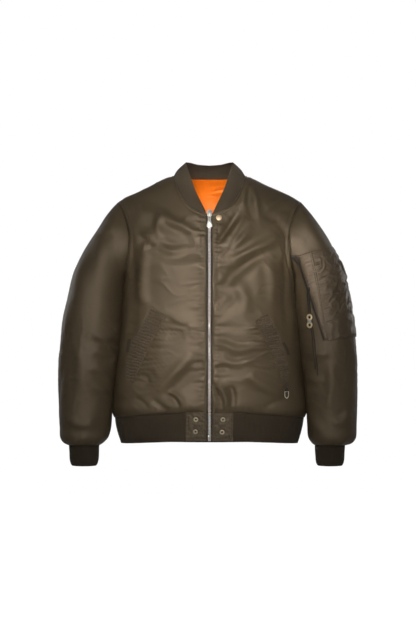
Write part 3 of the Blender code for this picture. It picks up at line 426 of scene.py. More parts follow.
def even(positions: Array, points: Array, count: int) -> Array:
    """Places that cut a line in equal lengths.

    Args:
        positions: Place of each point along the line.
        points: The line's points.
        count: How many equal stretches to make.

    Returns:
        count + 1 places, the first and the last of the line among them.
    """
    lengths = lengths_along(points)
    return np.interp(np.linspace(0, lengths[-1], count + 1), lengths, positions)


def grid_normals(grid: Array, outward: Array, closed: bool = False) -> Array:
    """Unit normals of a grid of points.

    Args:
        grid: Points, rows by columns by three.
        outward: A direction or a direction for each point, roughly away from the inside.
        closed: Whether the last column is the first one again.

    Returns:
        A normal for each point, on the outward side.
    """
    up = np.gradient(grid, axis=0)
    if closed:
        wide = np.concatenate([grid[:, -2:-1], grid, grid[:, 1:2]], axis=1)
        along = np.gradient(wide, axis=1)[:, 1:-1]
    else:
        along = np.gradient(grid, axis=1)
    normals = unit(np.cross(along, up))
    facing = np.sum(normals * outward, axis=-1)
    return normals * (1 if np.mean(facing) > 0 else -1)


class Noise:
    """Soft seeded gradient noise on a plane, from about -1 to 1."""

    SIZE = 64

    def __init__(self, seed: int) -> None:
        """Draw the lattice.

        Args:
            seed: Seed of the random draw.
        """
        turns = np.random.default_rng(seed).uniform(0, TURN, (self.SIZE, self.SIZE))
        self.slopes = np.stack([np.cos(turns), np.sin(turns)], axis=-1)

    def __call__(self, x: Array, y: Array) -> Array:
        """Value at each place, with cells one unit wide."""
        x, y = np.broadcast_arrays(np.asarray(x, float), np.asarray(y, float))
        cx, cy = np.floor(x).astype(int), np.floor(y).astype(int)
        dx, dy = x - cx, y - cy
        total = np.zeros(x.shape)
        for i in (0, 1):
            for j in (0, 1):
                slope = self.slopes[(cx + i) % self.SIZE, (cy + j) % self.SIZE]
                weight = (1 - ease(np.abs(dx - i))) * (1 - ease(np.abs(dy - j)))
                total += weight * (slope[..., 0] * (dx - i) + slope[..., 1] * (dy - j))
        return 1.7 * total

    def creases(self, x: Array, y: Array) -> Array:
        """Narrow crests between broad hollows, from 0 to 1."""
        value = self(x, y) + 0.5 * self(2.1 * x + 7.3, 2.1 * y + 1.7)
        return (1 - np.minimum(np.abs(value) * 1.6, 1)) ** 2


class Outline:
    """Closed outline that knows how far inside it a place lies."""

    def __init__(self, corners: Sequence[Sequence[float]]) -> None:
        """Keep the corners, in order round it."""
        self.start = np.array(corners, float)
        self.end = np.roll(self.start, -1, axis=0)

    def inside(self, x: Array, y: Array) -> Array:
        """Distance from the outline at each place, positive inside it."""
        here = np.stack([x, y], axis=-1)
        squared, crossed = np.full(x.shape, 1e12), np.zeros(x.shape, bool)
        for a, b in zip(self.start, self.end):
            run = b - a
            t = np.clip(((here - a) @ run) / max(run @ run, TINY), 0, 1)
            squared = np.minimum(squared, np.sum((here - a - t[..., None] * run) ** 2, axis=-1))
            if abs(run[1]) > TINY:
                meets = a[0] + (y - a[1]) * run[0] / run[1]
                crossed ^= ((a[1] > y) != (b[1] > y)) & (x < meets)
        return np.sqrt(squared) * np.where(crossed, 1, -1)


def spline(points: Sequence[Sequence[float]], steps: int) -> Array:
    """Places on a round curve through points.

    Args:
        points: Points to pass through.
        steps: Places between one point and the next.

    Returns:
        The places, the first and last point among them.
    """
    given = np.array(points, float)
    wide = np.concatenate([2 * given[:1] - given[1:2], given, 2 * given[-1:] - given[-2:-1]])
    t = (np.arange(steps) / steps)[:, None]
    spans = []
    for a, b, c, d in zip(wide, wide[1:], wide[2:], wide[3:]):
        second, third = 2 * a - 5 * b + 4 * c - d, 3 * b - a - 3 * c + d
        spans.append(0.5 * (2 * b + (c - a) * t + second * t**2 + third * t**3))
    return np.concatenate([*spans, given[-1:]])


@dataclass(frozen=True)
class Fold:
    """Soft crease along (x, z) places, with a hollow beside it on the right of its run."""

    height: float
    width: float
    path: tuple[Pair, ...]
    hollow: float = 0.5

    def relief(self, x: Array, z: Array) -> Array:
        """Height of the crease at each place; a negative one is a trough.

        Args:
            x: Places across.
            z: Places up.

        Returns:
            Heights in millimetres.
        """
        line = spline(self.path, 5)
        out = np.zeros(x.shape)
        reach = 3.2 * self.width
        near = (x > line[:, 0].min() - reach) & (x < line[:, 0].max() + reach)
        near &= (z > line[:, 1].min() - reach) & (z < line[:, 1].max() + reach)
        if not near.any():
            return out
        start, step = line[:-1], np.diff(line, axis=0)
        off = np.stack([x[near], z[near]], axis=-1)[:, None] - start
        part = np.clip((off * step).sum(axis=-1) / (step**2).sum(axis=-1), 0, 1)
        off -= part[..., None] * step
        apart = np.linalg.norm(off, axis=-1)
        slot = apart.argmin(axis=1)
        pick = np.arange(len(slot)), slot
        apart, offset, run = apart[pick], off[pick], unit(step)[slot]
        across = run[:, 1] * offset[:, 0] - run[:, 0] * offset[:, 1]
        t = (slot + part[pick]) / len(step)
        taper = np.sqrt(np.clip(4 * t * (1 - t), 0.03, 1))
        crest = bell(apart, self.width)
        beside = bell(apart - 1.7 * self.width, self.width)
        out[near] = self.height * taper * (crest - self.hollow * ease(across / self.width) * beside)
        return out


def folds_relief(folds: Sequence[Fold], x: Array, z: Array) -> Array:
    """Sum of the folds' heights at each place."""
    total = np.zeros(x.shape)
    for fold in folds:
        total += fold.relief(x, z)
    return total


FRONT_FOLDS = [
    Fold(7.2, 11, ((-170, -158), (-155, -149), (-141, -163), (-128, -180)), 0.7),
    Fold(5.6, 9, ((-155, -149), (-148, -168), (-163, -189))),
    Fold(6.4, 11, ((-113, -92), (-124, -118), (-128, -146), (-120, -168))),
    Fold(5.2, 12, ((-174, -76), (-170, -98), (-178, -126))),
    Fold(-9.7, 21, ((-172, -60), (-140, -70), (-104, -84), (-66, -122)), 0.0),
    Fold(7.2, 12, ((-119, -106), (-92, -122), (-66, -133), (-38, -146))),
    Fold(5.2, 12, ((-126, -181), (-91, -193), (-50, -181))),
    Fold(7.2, 14, ((-160, -192), (-166, -244), (-168, -299), (-160, -330))),
    Fold(-6.0, 12, ((-196, -168), (-199, -214), (-194, -262)), 0.0),
    Fold(-5.2, 8, ((-109, -361), (-90, -376), (-68, -384), (-50, -380)), -0.6),
    Fold(-4.8, 8, ((-104, -398), (-86, -404), (-66, -396)), -0.6),
    Fold(-5.2, 9, ((-169, -484), (-149, -498), (-134, -516)), -0.6),
    Fold(-4.5, 7, ((-174, -503), (-158, -512), (-148, -528)), -0.6),
    Fold(6.9, 15, ((-130, -545), (-100, -514), (-76, -487), (-40, -452)), 0.7),
    Fold(6.9, 7, ((-102, -545), (-85, -551), (-74, -562), (-66, -576)), 0.9),
    Fold(-6.4, 9, ((-144, -566), (-119, -583), (-104, -592)), -0.5),
    Fold(-4.8, 7, ((-186, -562), (-166, -574), (-152, -590)), -0.5),
    Fold(-4.8, 12, ((-196, -335), (-188, -372), (-196, -410)), 0.0),
    Fold(-4.0, 7, ((-205, -374), (-190, -381), (-176, -384)), -0.6),
    Fold(-4.0, 7, ((-209, -404), (-196, -409), (-184, -408)), -0.6),
    Fold(8.9, 13, ((178, -158), (140, -178), (111, -193), (56, -221)), 0.5),
    Fold(-8.5, 17, ((178, -187), (111, -212), (68, -241), (44, -268), (26, -300)), -0.3),
    Fold(6.0, 11, ((89, -106), (59, -152), (27, -183))),
    Fold(-6.0, 11, ((73, -98), (44, -148), (19, -180)), 0.0),
    Fold(5.2, 11, ((108, -134), (66, -175), (24, -213))),
    Fold(6.0, 10, ((140, -86), (174, -72), (214, -74)), 0.6),
    Fold(4.8, 9, ((117, -62), (118, -86), (124, -116))),
    Fold(-5.6, 10, ((170, -120), (184, -137), (190, -160)), -0.5),
    Fold(-5.2, 12, ((140, -98), (158, -112), (176, -116)), 0.0),
    Fold(3.9, 10, ((127, -426), (90, -440), (52, -437), (21, -420)), 0.7),
    Fold(3.7, 10, ((92, -472), (56, -476), (26, -458)), 0.7),
    Fold(4.5, 8, ((124, -456), (104, -466), (84, -470))),
    Fold(8.5, 8, ((16, -522), (30, -540), (41, -562), (42, -588)), 0.9),
    Fold(-6.9, 9, ((48, -530), (58, -552), (59, -580)), -0.3),
    Fold(-5.2, 9, ((131, -588), (160, -576), (184, -566)), -0.5),
    Fold(6.0, 14, ((96, -500), (130, -530), (176, -552))),
    Fold(5.2, 15, ((60, -260), (84, -300), (92, -352))),
    Fold(3.5, 13, ((152, -224), (160, -270), (158, -322))),
    Fold(-6.5, 12, ((196, -160), (190, -240), (192, -330), (197, -412)), -0.3),
    Fold(-5.8, 9, ((62, -108), (44, -138), (20, -176)), -0.3),
    Fold(-6.3, 9, ((82, -138), (58, -178), (30, -214)), -0.4),
    Fold(-6.9, 15, ((-146, -158), (-92, -182), (-36, -174)), -0.3),
    Fold(5.8, 9, ((92, -20), (88, -48), (83, -82)), 0.6),
    Fold(5.3, 9, ((104, -30), (112, -56), (111, -82)), 0.6),
    Fold(-7.5, 16, ((132, -200), (97, -229), (70, -254), (44, -276)), -0.2),
    Fold(-5.2, 10, ((70, -304), (46, -324), (28, -344)), -0.4),
]
BACK_FOLDS = [
    Fold(5.7, 14, ((-176, -128), (-128, -166), (-70, -186), (-20, -182)), 0.6),
    Fold(-5.4, 16, ((-178, -160), (-120, -206), (-60, -226)), -0.3),
    Fold(6.0, 14, ((-8, -222), (62, -222), (132, -188), (184, -130)), 0.6),
    Fold(-5.1, 16, ((40, -262), (110, -250), (180, -196)), -0.3),
    Fold(4.5, 12, ((-90, -60), (-124, -92), (-152, -134))),
    Fold(4.2, 12, ((70, -44), (84, -92), (90, -140))),
    Fold(4.8, 16, ((-150, -240), (-160, -310), (-146, -380))),
    Fold(4.5, 16, ((154, -250), (150, -320), (162, -392))),
    Fold(4.5, 12, ((-140, -470), (-80, -486), (-20, -478)), 0.6),
    Fold(4.8, 11, ((44, -404), (104, -446), (176, -452)), 0.6),
    Fold(6.0, 10, ((-120, -520), (-96, -552), (-84, -590)), 0.7),
    Fold(5.4, 9, ((-20, -530), (-14, -560), (-24, -596)), 0.7),
    Fold(6.0, 10, ((64, -506), (74, -548), (66, -592)), 0.7),
    Fold(4.8, 9, ((170, -530), (160, -566), (168, -598)), 0.7),
    Fold(-4.2, 10, ((-186, -520), (-170, -552), (-176, -590)), -0.4),
]
# Sleeve folds, seen from the front; the far side takes the same ones, shifted.
SLEEVE_FOLDS = {
    Wearer.RIGHT: [
        Fold(4.4, 6, ((-246, -372), (-232, -392), (-214, -404)), 0.9),
        Fold(4.0, 6, ((-262, -424), (-244, -440), (-222, -442)), 0.9),
        Fold(3.6, 6, ((-252, -480), (-238, -470), (-224, -456)), 0.9),
        Fold(-3.2, 6, ((-282, -150), (-262, -158), (-240, -156)), -0.4),
        Fold(-4.2, 9, ((-268, -158), (-251, -164), (-229, -170)), -0.6),
        Fold(5.1, 20, ((-240, -120), (-268, -180), (-276, -250))),
        Fold(4.2, 18, ((-300, -200), (-322, -262), (-330, -330))),
        Fold(-5.4, 10, ((-230, -300), (-224, -340), (-221, -382)), -0.5),
        Fold(4.8, 12, ((-290, -398), (-262, -412), (-225, -400)), 0.8),
        Fold(4.8, 11, ((-286, -440), (-257, -452), (-234, -470)), 0.8),
        Fold(4.5, 11, ((-292, -482), (-264, -497), (-238, -508)), 0.8),
        Fold(3.5, 10, ((-290, -528), (-266, -540), (-246, -544)), 0.8),
        Fold(3.8, 14, ((-340, -420), (-322, -470), (-326, -530))),
        Fold(3.5, 11, ((-352, -612), (-326, -628), (-290, -626)), 0.6),
        Fold(-3.5, 9, ((-276, -604), (-262, -628), (-266, -652)), -0.4),
    ],
    Wearer.LEFT: [
        Fold(4.8, 16, ((236, -116), (266, -150), (286, -190))),
        Fold(-4.2, 10, ((214, -206), (226, -262), (232, -330)), -0.5),
        Fold(-4.5, 9, ((227, -399), (240, -392), (256, -394)), -0.6),
        Fold(4.2, 12, ((236, -440), (268, -452), (300, -446)), 0.7),
        Fold(4.5, 13, ((300, -470), (306, -530), (296, -590))),
        Fold(-3.8, 11, ((350, -452), (352, -500), (346, -548)), -0.4),
        Fold(4.2, 12, ((247, -604), (266, -632), (284, -648)), 0.7),
        Fold(3.5, 11, ((354, -600), (330, -622), (306, -624)), 0.6),
        Fold(3.2, 10, ((246, -504), (262, -516), (286, -514)), 0.7),
    ],
}


class Torso:
    """Outer form of the body and the hem, as the frame has it."""

    ZIP_NOISE, WELT_NOISE = 4, 5
    BACK_SHIFT = 400.0
    FAR = 1e3
    SLOPE_STEP = 1.5

    def __init__(self) -> None:
        """Read the tables of the cut."""
        self.half_width = column(BODY, "z", "half_width")
        self.reach = {side: column(BODY, "z", side.name.lower()) for side in Side}
        self.hem_half = column(HEM, "part", "half_width")
        self.hem_reach = {side: column(HEM, "part", side.name.lower()) for side in Side}
        self.shoulder = column(SHOULDER, "x", "z")
        self.armhole = column(ARMHOLE, "z", "x")
        necks = {Side.FRONT: FRONT_NECK, Side.BACK: BACK_NECK}
        self.neck = {
            side: (column(t, "part", "x"), column(t, "part", "z")) for side, t in necks.items()
        }
        self.noises = [Noise(seed) for seed in range(11, 19)]
        self.welts = {}
        for wearer, table in WELTS.items():
            loop = [(w.in_x, w.in_z) for w in table] + [(w.out_x, w.out_z) for w in reversed(table)]
            self.welts[wearer] = Outline(loop)

    def depth(self, x: Array, z: Array, side: Side) -> Array:
        """Depth y of the plain form at places seen from the front."""
        reach, power = ROUNDS[side]
        drop = np.clip((self.shoulder(np.abs(x)) - z) / reach, 0.0, 1.0)
        round_side = rounded(x / self.half_width(z), SECTION_POWER)
        return side.value * self.reach[side](z) * round_side * rounded(1 - drop, power)

    def hem_z(self, x: Array, side: Side) -> Array:
        """Height of the seam between a panel and the hem."""
        middle = HEM_SEAM if side is Side.FRONT else HEM_SEAM_BACK
        return middle + (HEM_SEAM_SIDE - middle) * np.minimum(np.abs(x) / HEM_SEAM_HALF, 1.0) ** 2

    def hem_level(self, x: Array, part: Array, side: Side) -> Array:
        """Height on the hem, a part of the way up from its edge."""
        middle = HEM_EDGE if side is Side.FRONT else HEM_EDGE_BACK
        edge = middle + (HEM_EDGE_SIDE - middle) * np.minimum(np.abs(x) / HEM_EDGE_HALF, 1.0) ** 2
        return edge + (self.hem_z(x, side) - HEM_SEAM_GAP - edge) * part

    def hem_depth(self, x: Array, part: Array, side: Side) -> Array:
        """Depth y of the hem, a part of the way up from its edge."""
        return (
            side.value * self.hem_reach[side](part)
            * rounded(x / self.hem_half(part), SECTION_POWER)
        )

    def front_depth(self, x: Array, z: Array) -> Array:
        """Depth y of the front, on the panel or on the hem below it."""
        seam, edge = self.hem_z(x, Side.FRONT), self.hem_level(x, 0.0, Side.FRONT)
        hem = self.hem_depth(x, (z - edge) / (seam - edge), Side.FRONT)
        return np.where(z > seam - 0.2, self.depth(x, z, Side.FRONT), hem)

    def front_points(self, x: Array, z: Array) -> Array:
        """Points of the plain front or hem at places seen from the front."""
        return np.stack([x, self.front_depth(x, z), z], axis=-1)

    def seat(self, x: float, z: float, lift: float = 0.0) -> Matrix:
        """Axes on the plain front at a place."""
        x, z = np.array([x]), np.array([z])
        here = self.front_points(x, z)[0]
        out = self.outward(x, z)[0]
        return frame_matrix(here + out * lift, np.array([1.0, 0, 0]), out)

    def flat(self, side: Side, row: Array, place: Array) -> tuple[Array, Array]:
        """Place (x, z) on the left half of a panel, blended from its four edges.

        Args:
            side: Front or back.
            row: Rows up, from 0 at the hem over SIDE_ROWS at the underarm to ROWS.
            place: Columns across, from 0 at the middle over NECK_COLUMNS to COLUMNS.

        Returns:
            The x and z of each place.
        """
        start = FRONT_EDGE_X if side is Side.FRONT else 0.0
        neck_x, neck_z = self.neck[side]
        rise, across = np.sin(0.5 * np.pi * row / ROWS), np.sin(0.5 * np.pi * place / COLUMNS)
        lift = rise**3
        hem_side = self.half_width(HEM_SEAM_SIDE)
        foot_x = start + (hem_side - start) * across
        foot = np.stack([foot_x, self.hem_z(foot_x, side)])
        over = (place - NECK_COLUMNS) / (COLUMNS - NECK_COLUMNS)
        seam_x = NECK_POINT_X + (SHOULDER_TIP_X - NECK_POINT_X) * np.clip(over, 0, 1)
        part = np.clip(place / NECK_COLUMNS, 0, 1)
        at_neck = place <= NECK_COLUMNS
        top = np.stack(
            [
                np.where(at_neck, neck_x(part), seam_x),
                np.where(at_neck, neck_z(part), self.shoulder(seam_x)),
            ]
        )
        hem_middle, neck_middle = self.hem_z(start, side), neck_z(0.0)
        middle = np.stack([start + 0 * rise, hem_middle + (neck_middle - hem_middle) * rise])
        climb = rise / math.sin(0.5 * math.pi * SIDE_ROWS / ROWS)
        side_z = HEM_SEAM_SIDE + (UNDERARM - HEM_SEAM_SIDE) * np.minimum(climb, 1)
        turn = np.pi * np.clip(row - SIDE_ROWS, 0, ARM_ROWS) / ARM_ROWS
        arm_z = 0.5 * (UNDERARM + SHOULDER_TIP_Z) - 0.5 * (SHOULDER_TIP_Z - UNDERARM) * np.cos(turn)
        low = row <= SIDE_ROWS
        edge = np.stack(
            [
                np.where(low, self.half_width(side_z), self.armhole(arm_z)),
                np.where(low, side_z, arm_z),
            ]
        )
        corners = [
            (start, hem_middle), (hem_side, HEM_SEAM_SIDE), (start, neck_middle),
            (SHOULDER_TIP_X, SHOULDER_TIP_Z),
        ]
        a, b, c, d = (np.array(corner, float).reshape(2, *[1] * row.ndim) for corner in corners)
        bottom, high = (1 - across) * a + across * b, (1 - across) * c + across * d
        blend = (1 - lift) * foot + lift * top + (1 - across) * middle + across * edge
        return tuple(blend - ((1 - lift) * bottom + lift * high))

    def panel(self, side: Side, row: Array, place: Array) -> Array:
        """Points of the left half of a panel, with its y exactly 0 on side and shoulder seams."""
        x, z = self.flat(side, row, place)
        y = self.depth(x, z, side)
        side_seam = (place >= COLUMNS - TINY) & (row <= SIDE_ROWS)
        shoulder_seam = (row >= ROWS - TINY) & (place >= NECK_COLUMNS)
        return np.stack([x, np.where(side_seam | shoulder_seam, 0.0, y), z], axis=-1)

    def outward(self, x: Array, z: Array, side: Side = Side.FRONT) -> Array:
        """Unit normals of the plain front or back at places seen from the front."""
        step = self.SLOPE_STEP
        depth = self.front_depth if side is Side.FRONT else (lambda a, b: self.depth(a, b, side))
        across = (depth(x + step, z) - depth(x - step, z)) / (2 * step)
        up = (depth(x, z + step) - depth(x, z - step)) / (2 * step)
        return unit(np.stack([across, -np.ones_like(across), up], axis=-1) * -side.value)

    def edge_distance(self, x: Array, z: Array, side: Side) -> Array:
        """Rough distance over the cloth from the nearest seam of the panel."""
        reach = np.abs(self.depth(x, z, side))
        wide = np.abs(x)
        neck = self.from_neck(x, z, side)
        arm = np.where(z > UNDERARM, self.armhole(z) - wide, self.FAR)
        middle = wide - FRONT_EDGE_X if side is Side.FRONT else self.FAR
        parts = [
            reach, neck, np.maximum(arm, 0), np.maximum(middle, 0),
            np.maximum(z - self.hem_z(x, side), 0),
        ]
        return np.minimum.reduce(np.broadcast_arrays(*parts))

    def from_neck(self, x: Array, z: Array, side: Side) -> Array:
        """Distance from the neck seam, seen from the front."""
        neck_x, neck_z = (curve(np.linspace(0, 1, 90)) for curve in self.neck[side])
        return np.hypot(np.abs(x)[..., None] - neck_x, z[..., None] - neck_z).min(axis=-1)

    def relief(self, x: Array, z: Array, side: Side) -> Array:
        """Height of the cloth over the plain form: puff, puckers and folds.

        Args:
            x: Places across.
            z: Places up.
            side: Front or back.

        Returns:
            Heights in millimetres, nothing on the seams.
        """
        broad, middle, fine, hem_fine, _, arm_fine, bend, grain = self.noises
        wide = np.abs(x)
        offset = 0.0 if side is Side.FRONT else self.BACK_SHIFT
        folds = folds_relief(FRONT_FOLDS if side is Side.FRONT else BACK_FOLDS, x, z)
        sway = 14 * bend((x + offset) / 60, z / 60)
        lean = x * 0.35 + z
        waves = (
            2.6 * broad((x + offset) / 105 + 3.5, z / 130 + 0.5)
            + 1.2 * middle((lean + sway) / 52 + 0.5, (x - 0.4 * z + offset) / 80)
        )
        crisp = 1.0 * fine.creases((lean + sway) / 60 + 9, (x - 0.3 * z + offset) / 110)
        above_hem = z - self.hem_z(x, side)
        balloon = 3.0 * bell(above_hem - 20, 17) * (1 + 0.6 * middle(x / 30, 2.0 + 0 * z))
        gathers = 1.6 * hem_fine(x / 9 + offset, above_hem / 60) * np.exp(-above_hem / 15)
        gathers += 2.2 * hem_fine(x / 24 + offset, above_hem / 90 + 5) * np.exp(-above_hem / 42)
        from_arm = np.where(z > UNDERARM - 30, np.abs(self.armhole(z) - wide), 200)
        arm = 1.2 * arm_fine((z + 0.4 * x) / 12, from_arm / 40 + offset) * np.exp(-from_arm / 14)
        arm += 1.2 * bell(from_arm - 5, 2.2) - 1.5 * bell(from_arm - 10, 2.2)
        total = folds + waves + crisp + balloon + gathers + arm
        if side is Side.FRONT:
            total += self.zip_relief(x, z) + self.welt_relief(x, z)
        distance = self.edge_distance(x, z, side)
        puff = 1.6 * filled(distance, 4.0)
        neck = self.from_neck(x, z, side)
        puff += 1.5 * bell(neck - 2.4, 1.5) - 1.0 * bell(neck - 6.4, 1.5)
        height = (
            puff + total * (1 - np.exp(-((distance / 7.0) ** 1.5)))
            + 0.07 * grain(x / 4, z / 4) * ease(distance / 6)
        )
        return height * self.clear_of_trim(x, z) if side is Side.FRONT else height

    def clear_of_trim(self, x: Array, z: Array) -> Array:
        """How freely the front rises: nothing under the welts, the snap and the pocket's slider."""
        free = np.ones(x.shape)
        for wearer, outline in self.welts.items():
            mine = (x * wearer.value > 60) & (z > -570) & (z < -310)
            if mine.any():
                free[mine] *= 1 - ease((outline.inside(x[mine] * wearer.value, z[mine]) + 4) / 7)
        for at_x, at_z, radius in CALM_PLACES:
            free *= ease((np.hypot(x - at_x, z - at_z) - radius) / 9)
        return free

    def zip_relief(self, x: Array, z: Array) -> Array:
        """Cross puckers and stitched grooves beside the zip."""
        noise = self.noises[self.ZIP_NOISE]
        q = np.abs(x) - FRONT_EDGE_X
        shift = np.where(x > 0, 37.0, 0.0)
        narrow = 2.8 * noise(z / 6.5 + shift, q / 45) * bell(q - 9, 9)
        far = 3.0 * noise(z / 15 + 3 + shift, q / 60 + 7) * bell(q - 20, 24)
        grooves = sum(-0.8 * bell(q - at, 1.5) for at in (3.7, 13.4))
        return narrow + far + grooves

    def welt_relief(self, x: Array, z: Array) -> Array:
        """Puckers that run out from the ruched welts, and a flat bed beneath them."""
        noise = self.noises[self.WELT_NOISE]
        total = np.zeros(x.shape)
        for wearer, table in WELTS.items():
            inner = spline([(w.in_x, w.in_z) for w in table], 8)
            on_side = x * wearer.value > 0
            off = np.stack([np.abs(x), z], axis=-1)[..., None, :] - inner
            apart = np.linalg.norm(off, axis=-1)
            slot = apart.argmin(axis=-1)
            apart = apart.min(axis=-1)
            length = 200.0 * slot / (len(inner) - 1)
            run = unit(np.gradient(inner, axis=0))[slot]
            offset = np.take_along_axis(off, slot[..., None, None], axis=-2)[..., 0, :]
            outside = run[..., 1] * offset[..., 0] - run[..., 0] * offset[..., 1] > 0
            fade = (
                np.where(outside, np.exp(-apart / 22), 0.0)
                * ease(np.minimum(slot, len(inner) - 1 - slot) / 3)
            )
            along = length + 0.5 * apart
            ridges = 9.5 * noise(along / 8 + 5 * wearer.value, apart / 50) * fade
            total += np.where(on_side, ridges, 0.0)
        return total

    def place(self, x: Array, z: Array, lift: Array = 0.0) -> Array:
        """Points above the dressed front or hem.

        Args:
            x: Places across.
            z: Places up.
            lift: Height above the cloth.

        Returns:
            Points in millimetres.
        """
        x, z = np.broadcast_arrays(np.asarray(x, float), np.asarray(z, float))
        on_panel = z > self.hem_z(x, Side.FRONT) - 0.2
        height = np.where(on_panel, self.relief(x, z, Side.FRONT), 0.0) + lift
        return self.front_points(x, z) + self.outward(x, z) * height[..., None]


class Arm:
    """Outer form of one sleeve, as the frame has it."""

    def __init__(self, wearer: Wearer, torso: Torso) -> None:
        """Work out the sleeve's sections and its lengths.

        Args:
            wearer: Which sleeve.
            torso: The body whose armhole it is sewn into.
        """
        self.wearer, self.torso = wearer, torso
        last = len(SLEEVE) - 1
        index = np.arange(len(SLEEVE))
        table = np.array(SLEEVE, float)
        if wearer is Wearer.RIGHT:
            swing = ease((index - SWING_FROM) / SWING_ROWS)
            late = ease((index - (last - SWING_LATE)) / SWING_LATE)
            under, over = SWING_UNDER * swing, SWING_OVER * swing
            table[:, 0] += under + (SWING_CUFF - under) * late
            table[:, 2] += over + (SWING_CUFF - over) * late
        self.last = float(last)
        self.curves = [Curve(index, table[:, i]) for i in range(6)]
        self.noises = [Noise(seed + 40 * wearer.value) for seed in range(101, 107)]
        places = np.linspace(0, last, 400)
        line = self.plain(places, np.full(places.shape, 0.75 * np.pi))
        self.lengths = Curve(places, lengths_along(line))
        self.pocket = None
        if wearer is Wearer.LEFT:
            t = np.linspace(0, 1, 25)[:-1]
            u = np.concatenate([t, 1 + 0 * t, 1 - t, 0 * t])
            v = np.concatenate([0 * t, t, 1 + 0 * t, 1 - t])
            s, turn = self.pocket_place(u, v)
            self.pocket = Outline(np.stack([self.lengths(s), POCKET_TURN_REACH * turn], axis=-1))

    def section(self, s: Array) -> list[Array]:
        """The six sizes of the section at place s."""
        return [curve(s) for curve in self.curves]

    def middle(self, s: Array) -> Array:
        """Middle point of the section at place s."""
        in_x, in_z, out_x, out_z, _, mid_y = self.section(s)
        return np.stack([0.5 * (in_x + out_x), mid_y, 0.5 * (in_z + out_z)], axis=-1)

    def plain(self, s: Array, turn: Array) -> Array:
        """Points of the left-hand plain form: turn 0 is the underarm, pi/2 the front."""
        ring = self.ring(s, turn)
        share = np.where(s < 1, (1 - np.minimum(s, 1)) ** 2, 0.0)
        if not np.any(share > 0):
            return ring
        whole = np.mod(turn, TURN)
        row = SIDE_ROWS + ARM_ROWS * whole / np.pi
        front = self.torso.panel(
            Side.FRONT, np.minimum(row, ROWS), np.full(np.shape(row), float(COLUMNS))
        )
        back_row = np.clip(SIDE_ROWS + 2 * ARM_ROWS - (row - SIDE_ROWS), SIDE_ROWS, ROWS)
        back = self.torso.panel(Side.BACK, back_row, np.full(np.shape(row), float(COLUMNS)))
        loop = np.where((whole <= np.pi)[..., None], front, back)
        start = self.ring(np.zeros(np.shape(turn)), turn)
        return ring + share[..., None] * (loop - start)

    def ring(self, s: Array, turn: Array) -> Array:
        """Points of the section at place s, before the armhole's own form is blended in."""
        in_x, in_z, out_x, out_z, half_depth, mid_y = self.section(s)
        c, w = np.cos(turn), np.sin(turn)
        power = 2 / SLEEVE_ROUND
        along = -np.sign(c) * np.abs(c) ** power
        deep = np.sign(w) * np.abs(w) ** power
        x = 0.5 * (in_x + out_x) + 0.5 * (out_x - in_x) * along
        z = 0.5 * (in_z + out_z) + 0.5 * (out_z - in_z) * along
        return np.stack(np.broadcast_arrays(x, mid_y - half_depth * deep, z), axis=-1)

    def outward(self, s: Array, turn: Array) -> Array:
        """Unit normals of the plain form."""
        step = 0.02
        below, above = np.minimum(s + step, self.last), np.maximum(s - step, 0)
        along = self.plain(below, turn) - self.plain(above, turn)
        around = self.plain(s, turn + step) - self.plain(s, turn - step)
        normal = unit(np.cross(along, around))
        facing = np.sum(normal * (self.plain(s, turn) - self.middle(s)), axis=-1, keepdims=True)
        return np.where(facing < 0, -normal, normal)

    def relief(self, s: Array, turn: Array, points: Array, outward: Array) -> Array:
        """Height of the cloth over the plain form.

        Args:
            s: Places down the sleeve.
            turn: Places round it.
            points: Plain points there.
            outward: Their normals.

        Returns:
            Heights in millimetres, nothing on the two seams.
        """
        broad, middle, cap, foot, crease, bend = self.noises
        length = self.lengths(s)
        whole = self.lengths(self.last)
        x, z = points[..., 0] * self.wearer.value, points[..., 2]
        front = ease(0.35 - 1.4 * outward[..., 1])
        folds = SLEEVE_FOLDS[self.wearer]
        seen = folds_relief(folds, x, z) * front
        hidden = folds_relief(folds, x + 9 * self.wearer.value, z + 31) * (1 - front)
        ring_x, ring_y = 2.6 * np.cos(turn), 2.6 * np.sin(turn)
        waves = (
            1.5 * broad(length / 120 + 0.6 * ring_x, 0.6 * ring_y + 9)
            + 0.7 * middle(length / 60 + 4 + 0.8 * ring_x, ring_y)
        )
        lean = length + 26 * np.cos(turn + 0.8) + 10 * bend(length / 60, ring_y)
        elbow = bell(length - 0.62 * whole, 120)
        rings = (0.25 + 1.0 * elbow) * crease.creases(lean / 48, ring_x + ring_y + 12)
        around = 11.0 * turn
        caps = 1.0 * cap(around / 2.2, length / 40) * np.exp(-length / 20)
        above = whole - length
        gathers = (
            1.3 * foot(around / 1.9, above / 60) * np.exp(-above / 20)
            + 1.8 * foot(around / 5, 4 + above / 90) * np.exp(-above / 48)
        )
        balloon = 2.2 * bell(above - 26, 18)
        ends = np.minimum(length, above)
        full = 1.5 * filled(ends, 4.5)
        total = seen + hidden + waves + rings + caps + gathers + balloon
        under = bell(np.minimum(np.mod(turn, TURN), np.mod(-turn, TURN)), 0.5)
        total = total * (1 - 0.8 * under) + SIDE_TOUCH * under * bell(z + 320, 75)
        if self.pocket:
            inside = self.pocket.inside(length, POCKET_TURN_REACH * np.mod(turn, TURN))
            total = total * (1 - ease((inside + 5) / 9))
        return full + total * (1 - np.exp(-((ends / 8) ** 1.5)))

    def place(self, s: Array, turn: Array, lift: Array = 0.0) -> Array:
        """Points above the dressed sleeve, on its own side of the wearer."""
        s, turn = np.broadcast_arrays(np.asarray(s, float), np.asarray(turn, float))
        base, normal = self.plain(s, turn), self.outward(s, turn)
        height = self.relief(s, turn, base, normal) + lift
        return mirrored(base + normal * height[..., None], self.wearer)

